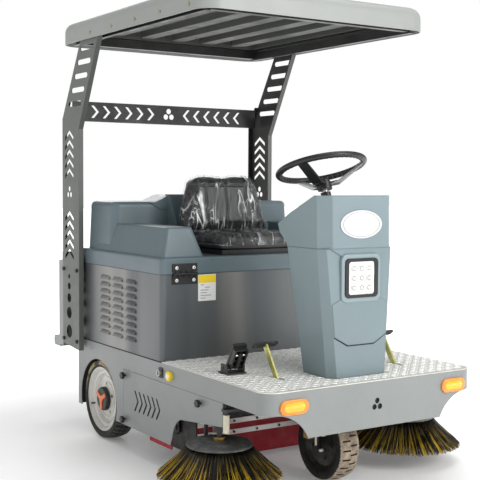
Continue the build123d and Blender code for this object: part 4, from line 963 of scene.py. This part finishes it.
# ---- steering wheel grip, rear wheels
def wheel_grip():
    """Finger bumps on the inside of the steering wheel rim."""
    bm = bmesh.new()
    tilt = Matrix((STEER_AHEAD, Vector((0, 1, 0)), STEER_UP)).transposed().to_4x4()
    matrix = Matrix.Translation(WHEEL_AT) @ tilt
    for k in range(48):
        a = math.radians(FIRST_SPOKE + 7.5 * (k + 0.5))
        beside_spoke = min(k % 16, 15 - k % 16) < 2
        if beside_spoke:
            continue
        made = bmesh.ops.create_uvsphere(bm, u_segments=12, v_segments=8, radius=1.0)["verts"]
        local = Matrix.Rotation(a, 4, "Z") @ Matrix.Translation((0.1700, 0, -0.0015))
        for v in made:
            v.co = matrix @ (local @ Vector((v.co.x * 0.0085, v.co.y * 0.0098, v.co.z * 0.0100)))
    finish_mesh("wheel_grip", bm, "dark_plastic", "steering", 60)


wheel_grip()


def rear_rim_details(suffix, side):
    """Raised rings, valve and wheel nuts on the outer face of a rear rim."""
    bm = bmesh.new()
    centre = REAR_AXLE + Vector((0, side * REAR_WHEEL_Y, 0))
    out = Vector((0, side, 0))

    def raised(radius, width, base, height):
        foot, top = side * (base - 0.002), side * (base + height)
        inner = radius - width
        wheel_ring(bm, centre, ((radius, foot), (radius, top), (inner, top), (inner, foot)))

    def on_face(radius, degrees):
        a = math.radians(degrees)
        return centre + Vector((radius * math.cos(a), 0, radius * math.sin(a)))

    raised(0.1515, 0.006, 0.040, 0.0035)
    raised(0.106, 0.004, 0.014, 0.0045)
    raised(0.086, 0.004, 0.0165, 0.0035)
    for k in range(5):
        nut = on_face(0.070, 90 + 72 * k)
        tube(bm, nut + out * 0.0150, nut + out * 0.0250, 0.0075, 0.0068, 6, 1)
    valve = on_face(0.125, 200)
    tube(bm, valve + out * 0.022, valve + out * 0.045, 0.0045, 0.0035, 14, 2)
    bmesh.ops.recalc_face_normals(bm, faces=bm.faces)
    finish_mesh(f"rear_rim_rings_{suffix}", bm, ["silver_rim", "zinc", "tyre"], f"rear_wheel_{suffix}", 40)


for side, suffix in SIDES:
    rear_rim_details(suffix, side)


def tyre_rings(suffix, side):
    """Raised rings on both sidewalls of a rear tyre."""
    bm = bmesh.new()
    centre = REAR_AXLE + Vector((0, side * REAR_WHEEL_Y, 0))
    for sign in (-1, 1):
        for radius, y, h in ((0.1585, 0.0420, 0.0018), (0.1725, 0.0480, 0.0014)):
            wheel_ring(bm, centre, [(radius + dr, sign * (y + dy))
                                    for dr, dy in ((-0.0022, 0), (-0.0010, h), (0.0010, h), (0.0022, 0))])
    bmesh.ops.recalc_face_normals(bm, faces=bm.faces)
    finish_mesh(f"rear_tyre_rings_{suffix}", bm, "tyre", f"rear_wheel_{suffix}", 40)


for side, suffix in SIDES:
    tyre_rings(suffix, side)


def raised_plate(name, outline, rise, width):
    """Thin plate on the column's front, from its outline in Y and Z."""
    bm = bmesh.new()
    back = [bm.verts.new((column_face(z) - 0.0020, y, z)) for y, z in outline]
    front = [bm.verts.new((column_face(z) + rise, y, z)) for y, z in outline]
    bm.faces.new(front)
    bm.faces.new(back[::-1])
    band(bm, back, front)
    bmesh.ops.recalc_face_normals(bm, faces=bm.faces)
    bevel(bm, width, 3, 25)
    finish_mesh(name, bm, "blue_grey_plastic", "chassis", 50)


def column_panels():
    """Raised panel of the column front below the lamp, and the V-shaped lip of the hood above it."""
    right_half = ((-0.0860, 0.7720), (-0.1400, 0.7480), (-0.1310, 0.6220), (-0.0655, 0.5870))
    outline = list(right_half[2:]) + [(-y, z) for y, z in right_half[::-1]] + list(right_half[:2])
    raised_plate("column_panel", outline, 0.0034, 0.0024)
    raised_plate("hood_lip", [(-0.1560, 0.9700), (0.1560, 0.9700), (0.0830, 0.9300), (-0.0830, 0.9300)],
                 0.0064, 0.0024)


column_panels()


# ---- seat: vinyl pads, and the clear film still on them
def vinyl_material():
    s = Shader("Vinyl")
    s.set(Specular_IOR_Level=0.55)
    grain = s.cells(620.0)
    wave = s.noise(7.0, 4.0, 0.6, None, 0.8)
    s.colour(s.ramp(wave, [(0.3, lin(20, 20, 21)), (0.7, lin(36, 36, 37))]))
    s.rough(s.ramp(s.noise(16.0, 4.0, 0.6), [(0.3, 0.30), (0.7, 0.46)]))
    s.bump(s.math("ADD", s.math("MULTIPLY", grain, 0.5), s.math("MULTIPLY", wave, 3.0)), 0.0006, 0.8, 0.0)
    return s.mat


def film_material():
    """Thin clear film: see-through and glossy, with painted highlights that turn it whitish along a few long
    creases.
    """
    s = Shader("ClearFilm")
    s.set(Specular_IOR_Level=0.9, IOR=1.46)
    long = s.noise(4.2, 2.0, 0.45, s.mapping((1.0, 2.6, 0.55), (0.22, 0.1, 0.3)), 1.1)
    fine = s.noise(11.0, 2.0, 0.5, s.mapping((0.9, 2.0, 0.8), (0.5, 0.3, 0.9)), 1.8)
    patch = s.ramp(s.noise(9.0, 2.0, 0.5), [(0.46, 0.0), (0.62, 1.0)])
    from_long = s.math("ABSOLUTE", s.math("SUBTRACT", long, 0.5))
    from_fine = s.math("ABSOLUTE", s.math("SUBTRACT", fine, 0.52))
    # painted highlight: these crease masks make the film near-white and less see-through along its creases
    long_crease_highlight = s.ramp(from_long, [(0.0, 1.0), (0.010, 0.7), (0.030, 0.0)])
    small = s.ramp(from_fine, [(0.0, 0.9), (0.012, 0.35), (0.030, 0.0)])
    amount = s.math("MAXIMUM", s.math("MULTIPLY", long_crease_highlight, s.math("ADD", patch, 0.25)),
                    s.math("MULTIPLY", small, patch))
    s.colour(s.ramp(amount, [(0.0, lin(150, 152, 154)), (1.0, lin(244, 245, 246))]))
    s.links.new(s.ramp(amount, [(0.0, 0.07), (0.4, 0.34), (1.0, 0.88)]), s.bsdf.inputs["Alpha"])
    s.rough(s.ramp(fine, [(0.3, 0.07), (0.7, 0.20)]))
    s.bump(s.math("ADD", long, s.math("MULTIPLY", fine, 0.5)), 0.012, 0.9, 0.0)
    return s.mat


MAT["vinyl"] = vinyl_material()
MAT["film"] = film_material()


def ridged(p, scale, seed, stretch=(1, 1, 1)):
    """Sharp-crested ripples between -1 and 1."""
    q = Vector((p.x * stretch[0], p.y * stretch[1], p.z * stretch[2])) * scale
    q += Vector((seed, seed * 0.7, seed * 1.3))
    bend = noise.noise(q * 0.45) * 1.2
    return 1.0 - 2.0 * abs(noise.noise(q + Vector((bend, bend, bend))))


def stuffed(name, source, cap, floor_z=None):
    """Copy of a CAD pad, remeshed and blown up a little by the cloth solver, capped and smoothed."""
    mesh = nodes[source].data.copy()
    obj = placed(name, mesh)
    mesh.materials.clear()
    mesh.materials.append(MAT["vinyl"])
    low, high = (Vector(p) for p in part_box(source))
    centre = (low + high) / 2
    for v in mesh.vertices:
        v.co = centre + (v.co - centre) * 0.97
    bpy.context.view_layer.objects.active = obj
    for other in bpy.context.selected_objects:
        other.select_set(False)
    obj.select_set(True)
    remesh = obj.modifiers.new("remesh", "REMESH")
    remesh.mode = "VOXEL"
    remesh.voxel_size = 0.005
    bpy.ops.object.modifier_apply(modifier="remesh")
    start = [v.co.copy() for v in obj.data.vertices]
    cloth = obj.modifiers.new("cloth", "CLOTH")
    cloth.settings.use_pressure = True
    cloth.settings.uniform_pressure_force = 4.0
    cloth.settings.effector_weights.gravity = 0.0
    cloth.settings.quality = 5
    cloth.settings.mass = 0.3
    cloth.settings.tension_stiffness = 18
    cloth.settings.compression_stiffness = 12
    cloth.settings.shear_stiffness = 6
    cloth.point_cache.frame_start = 1
    cloth.point_cache.frame_end = 22
    for frame_number in range(1, 21):
        bpy.context.scene.frame_set(frame_number)
    bpy.ops.object.modifier_apply(modifier="cloth")
    bpy.context.scene.frame_set(1)
    for v, was in zip(obj.data.vertices, start):
        step = v.co - was
        if step.length > cap:
            v.co = was + step * (cap / step.length)
        if floor_z is not None and v.co.z < floor_z:
            v.co.z = floor_z
    sub = obj.modifiers.new("sub", "SUBSURF")
    sub.levels = sub.render_levels = 1
    bpy.ops.object.modifier_apply(modifier="sub")
    obj.data.shade_smooth()
    return obj


def crease(obj, move):
    """Shift each vertex along its normal by what move(point, normal) gives."""
    obj.data.update()
    shifts = [(v.normal.copy(), move(v.co, v.normal)) for v in obj.data.vertices]
    for v, (n, d) in zip(obj.data.vertices, shifts):
        v.co += n * d
    obj.data.update()


cushion = stuffed("seat_cushion_pad", "seat_cushion", 0.009, 0.9225)
crease(cushion, lambda p, n: -0.0045 * math.exp(-((abs(p.y) - 0.150) / 0.005) ** 2) * max(n.z, 0.0)
       - 0.0035 * math.exp(-((p.z - 0.946) / 0.0035) ** 2) * (1.0 - abs(n.z))
       + 0.0011 * ridged(p, 26.0, 3.1, (0.6, 1.4, 1.0)) * max(n.z, 0.0))
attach(cushion, "cover")
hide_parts("seat_cushion")

back = stuffed("seat_back_pad", "seat_back", 0.010)
BACK_OUT = Vector((math.cos(math.radians(8)), 0, math.sin(math.radians(8))))


def back_shape(p, n):
    face = max(n.dot(BACK_OUT), 0.0)
    channel = sum(math.exp(-((p.y - y) / 0.0048) ** 2) for y in (-0.108, 0.0, 0.108))
    band = math.exp(-((p.z - 1.205) / 0.005) ** 2)
    return -0.0045 * face * max(channel, band) + 0.0010 * ridged(p, 24.0, 7.7, (1.0, 1.6, 0.6)) * face


crease(back, back_shape)
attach(back, "cover")
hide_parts("seat_back")


def film_over(name, pad, from_z, ripple, seed, stretch, flare=lambda p: 0.0):
    """Thin creased film lying over a pad: the pad's upper skin, set off it and rippled."""
    mesh = pad.data.copy()
    obj = placed(name, mesh)
    mesh.materials.clear()
    mesh.materials.append(MAT["film"])
    bm = bmesh.new()
    bm.from_mesh(mesh)
    doomed = [f for f in bm.faces if f.calc_center_median().z <= from_z]
    bmesh.ops.delete(bm, geom=doomed, context="FACES")
    bmesh.ops.smooth_vert(bm, verts=bm.verts, factor=0.5, use_axis_x=True, use_axis_y=True, use_axis_z=True)
    bm.normal_update()
    lift = 0.0018
    shifts = []
    for v in bm.verts:
        waves = 0.7 * ridged(v.co, 13.0, seed, stretch) + 0.35 * ridged(v.co, 34.0, seed + 4, stretch)
        shifts.append((v.normal.copy(), lift + ripple * (0.6 + waves)))
    for v, (n, d) in zip(bm.verts, shifts):
        v.co += n * max(d + flare(v.co), 0.0012)
    bm.to_mesh(mesh)
    bm.free()
    mesh.shade_smooth()
    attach(obj, "cover")


# cushion film: 0.44 m across the pad and 0.37 m along it, with 0.045 m turned down on every side
film_over("seat_film_cushion", cushion, 0.938, 0.0045, 2.3, (0.5, 1.3, 1.0))
# back film: one sheet 0.53 m wide and 0.60 m long, folded over the back rest's top and joined down both sides
film_over("seat_film_back", back, 0.998, 0.0055, 9.4, (1.0, 1.8, 0.45),
          lambda p: 0.016 * max(0.0, min(1.0, (1.055 - p.z) / 0.055)) ** 2)


# ---- floor, light and camera
def floor():
    s = Shader("StudioFloor")
    s.colour(s.ramp(s.noise(0.7, 3.0, 0.5), [(0.3, (0.95, 0.95, 0.95)), (0.7, (0.98, 0.98, 0.98))]))
    s.rough(s.ramp(s.noise(3.0, 3.0, 0.5), [(0.3, 0.55), (0.7, 0.7)]))
    # the floor brightens away from the machine until it meets the white backdrop without a horizon
    x, y, _ = s.xyz()
    away = s.math("SQRT", s.math("ADD", s.math("POWER", x, 2.0), s.math("POWER", y, 2.0)))
    rise = s.math("MINIMUM", s.math("MAXIMUM", s.math("MULTIPLY_ADD", away, 0.42, -0.55), 0.0), 1.0)
    s.set(Emission_Color=(1.0, 1.0, 1.0, 1.0))
    s.links.new(s.math("MULTIPLY_ADD", rise, 0.85, 0.12), s.bsdf.inputs["Emission Strength"])
    mesh = bpy.data.meshes.new("studio_floor")
    bm = bmesh.new()
    bmesh.ops.create_grid(bm, x_segments=2, y_segments=2, size=40.0)
    bm.to_mesh(mesh)
    bm.free()
    mesh.materials.append(s.mat)
    ground = placed("studio_floor", mesh)
    ground.location.z = -0.0005


floor()


def studio_world():
    """White surroundings, dimmer for what they light than for what looks straight at them."""
    world = bpy.data.worlds.new("studio")
    bpy.context.scene.world = world
    world.use_nodes = True
    tree = world.node_tree
    light = tree.nodes["Background"]
    light.inputs["Color"].default_value = (1.0, 1.0, 1.0, 1.0)
    light.inputs["Strength"].default_value = 0.52
    backdrop = tree.nodes.new("ShaderNodeBackground")
    backdrop.inputs["Strength"].default_value = 1.25
    which = tree.nodes.new("ShaderNodeMixShader")
    path = tree.nodes.new("ShaderNodeLightPath")
    tree.links.new(path.outputs["Is Camera Ray"], which.inputs[0])
    tree.links.new(light.outputs[0], which.inputs[1])
    tree.links.new(backdrop.outputs[0], which.inputs[2])
    tree.links.new(which.outputs[0], tree.nodes["World Output"].inputs[0])


studio_world()


def area_light(name, at, aim, size, power):
    data = bpy.data.lights.new(name, "AREA")
    data.shape = "RECTANGLE"
    data.size, data.size_y = size
    data.energy = power
    obj = placed(name, data)
    obj.location = at
    obj.rotation_euler = (Vector(aim) - Vector(at)).to_track_quat("-Z", "Y").to_euler()


area_light("key_front", (5.5, 1.8, 3.2), (0.2, 0, 0.9), (3.0, 3.0), 190)
area_light("fill_side", (1.0, -5.5, 2.6), (0, 0, 0.9), (4.0, 3.0), 14)
area_light("top_soft", (0.5, 0.5, 5.5), (0, 0, 0.5), (4.0, 4.0), 135)
area_light("rim_back", (-5.0, 2.0, 3.0), (0, 0, 1.0), (2.5, 2.5), 45)


def camera():
    yaw, pitch, roll = (math.radians(v) for v in (147.035, -3.192, 0.326))
    ahead = Vector((math.cos(yaw) * math.cos(pitch), math.sin(yaw) * math.cos(pitch), math.sin(pitch)))
    right = ahead.cross(Vector((0, 0, 1))).normalized()
    up = right.cross(ahead)
    right, up = (right * math.cos(roll) + up * math.sin(roll), -right * math.sin(roll) + up * math.cos(roll))
    data = bpy.data.cameras.new("camera")
    data.sensor_width = 36.0
    data.lens = 76.26
    data.clip_end = 200.0
    obj = placed("camera", data)
    turn = Matrix((right, up, -ahead)).transposed().to_4x4()
    obj.matrix_world = Matrix.Translation((3.8872, -2.5601, 1.2154)) @ turn
    bpy.context.scene.camera = obj


camera()
bpy.context.scene.view_settings.view_transform = "Standard"
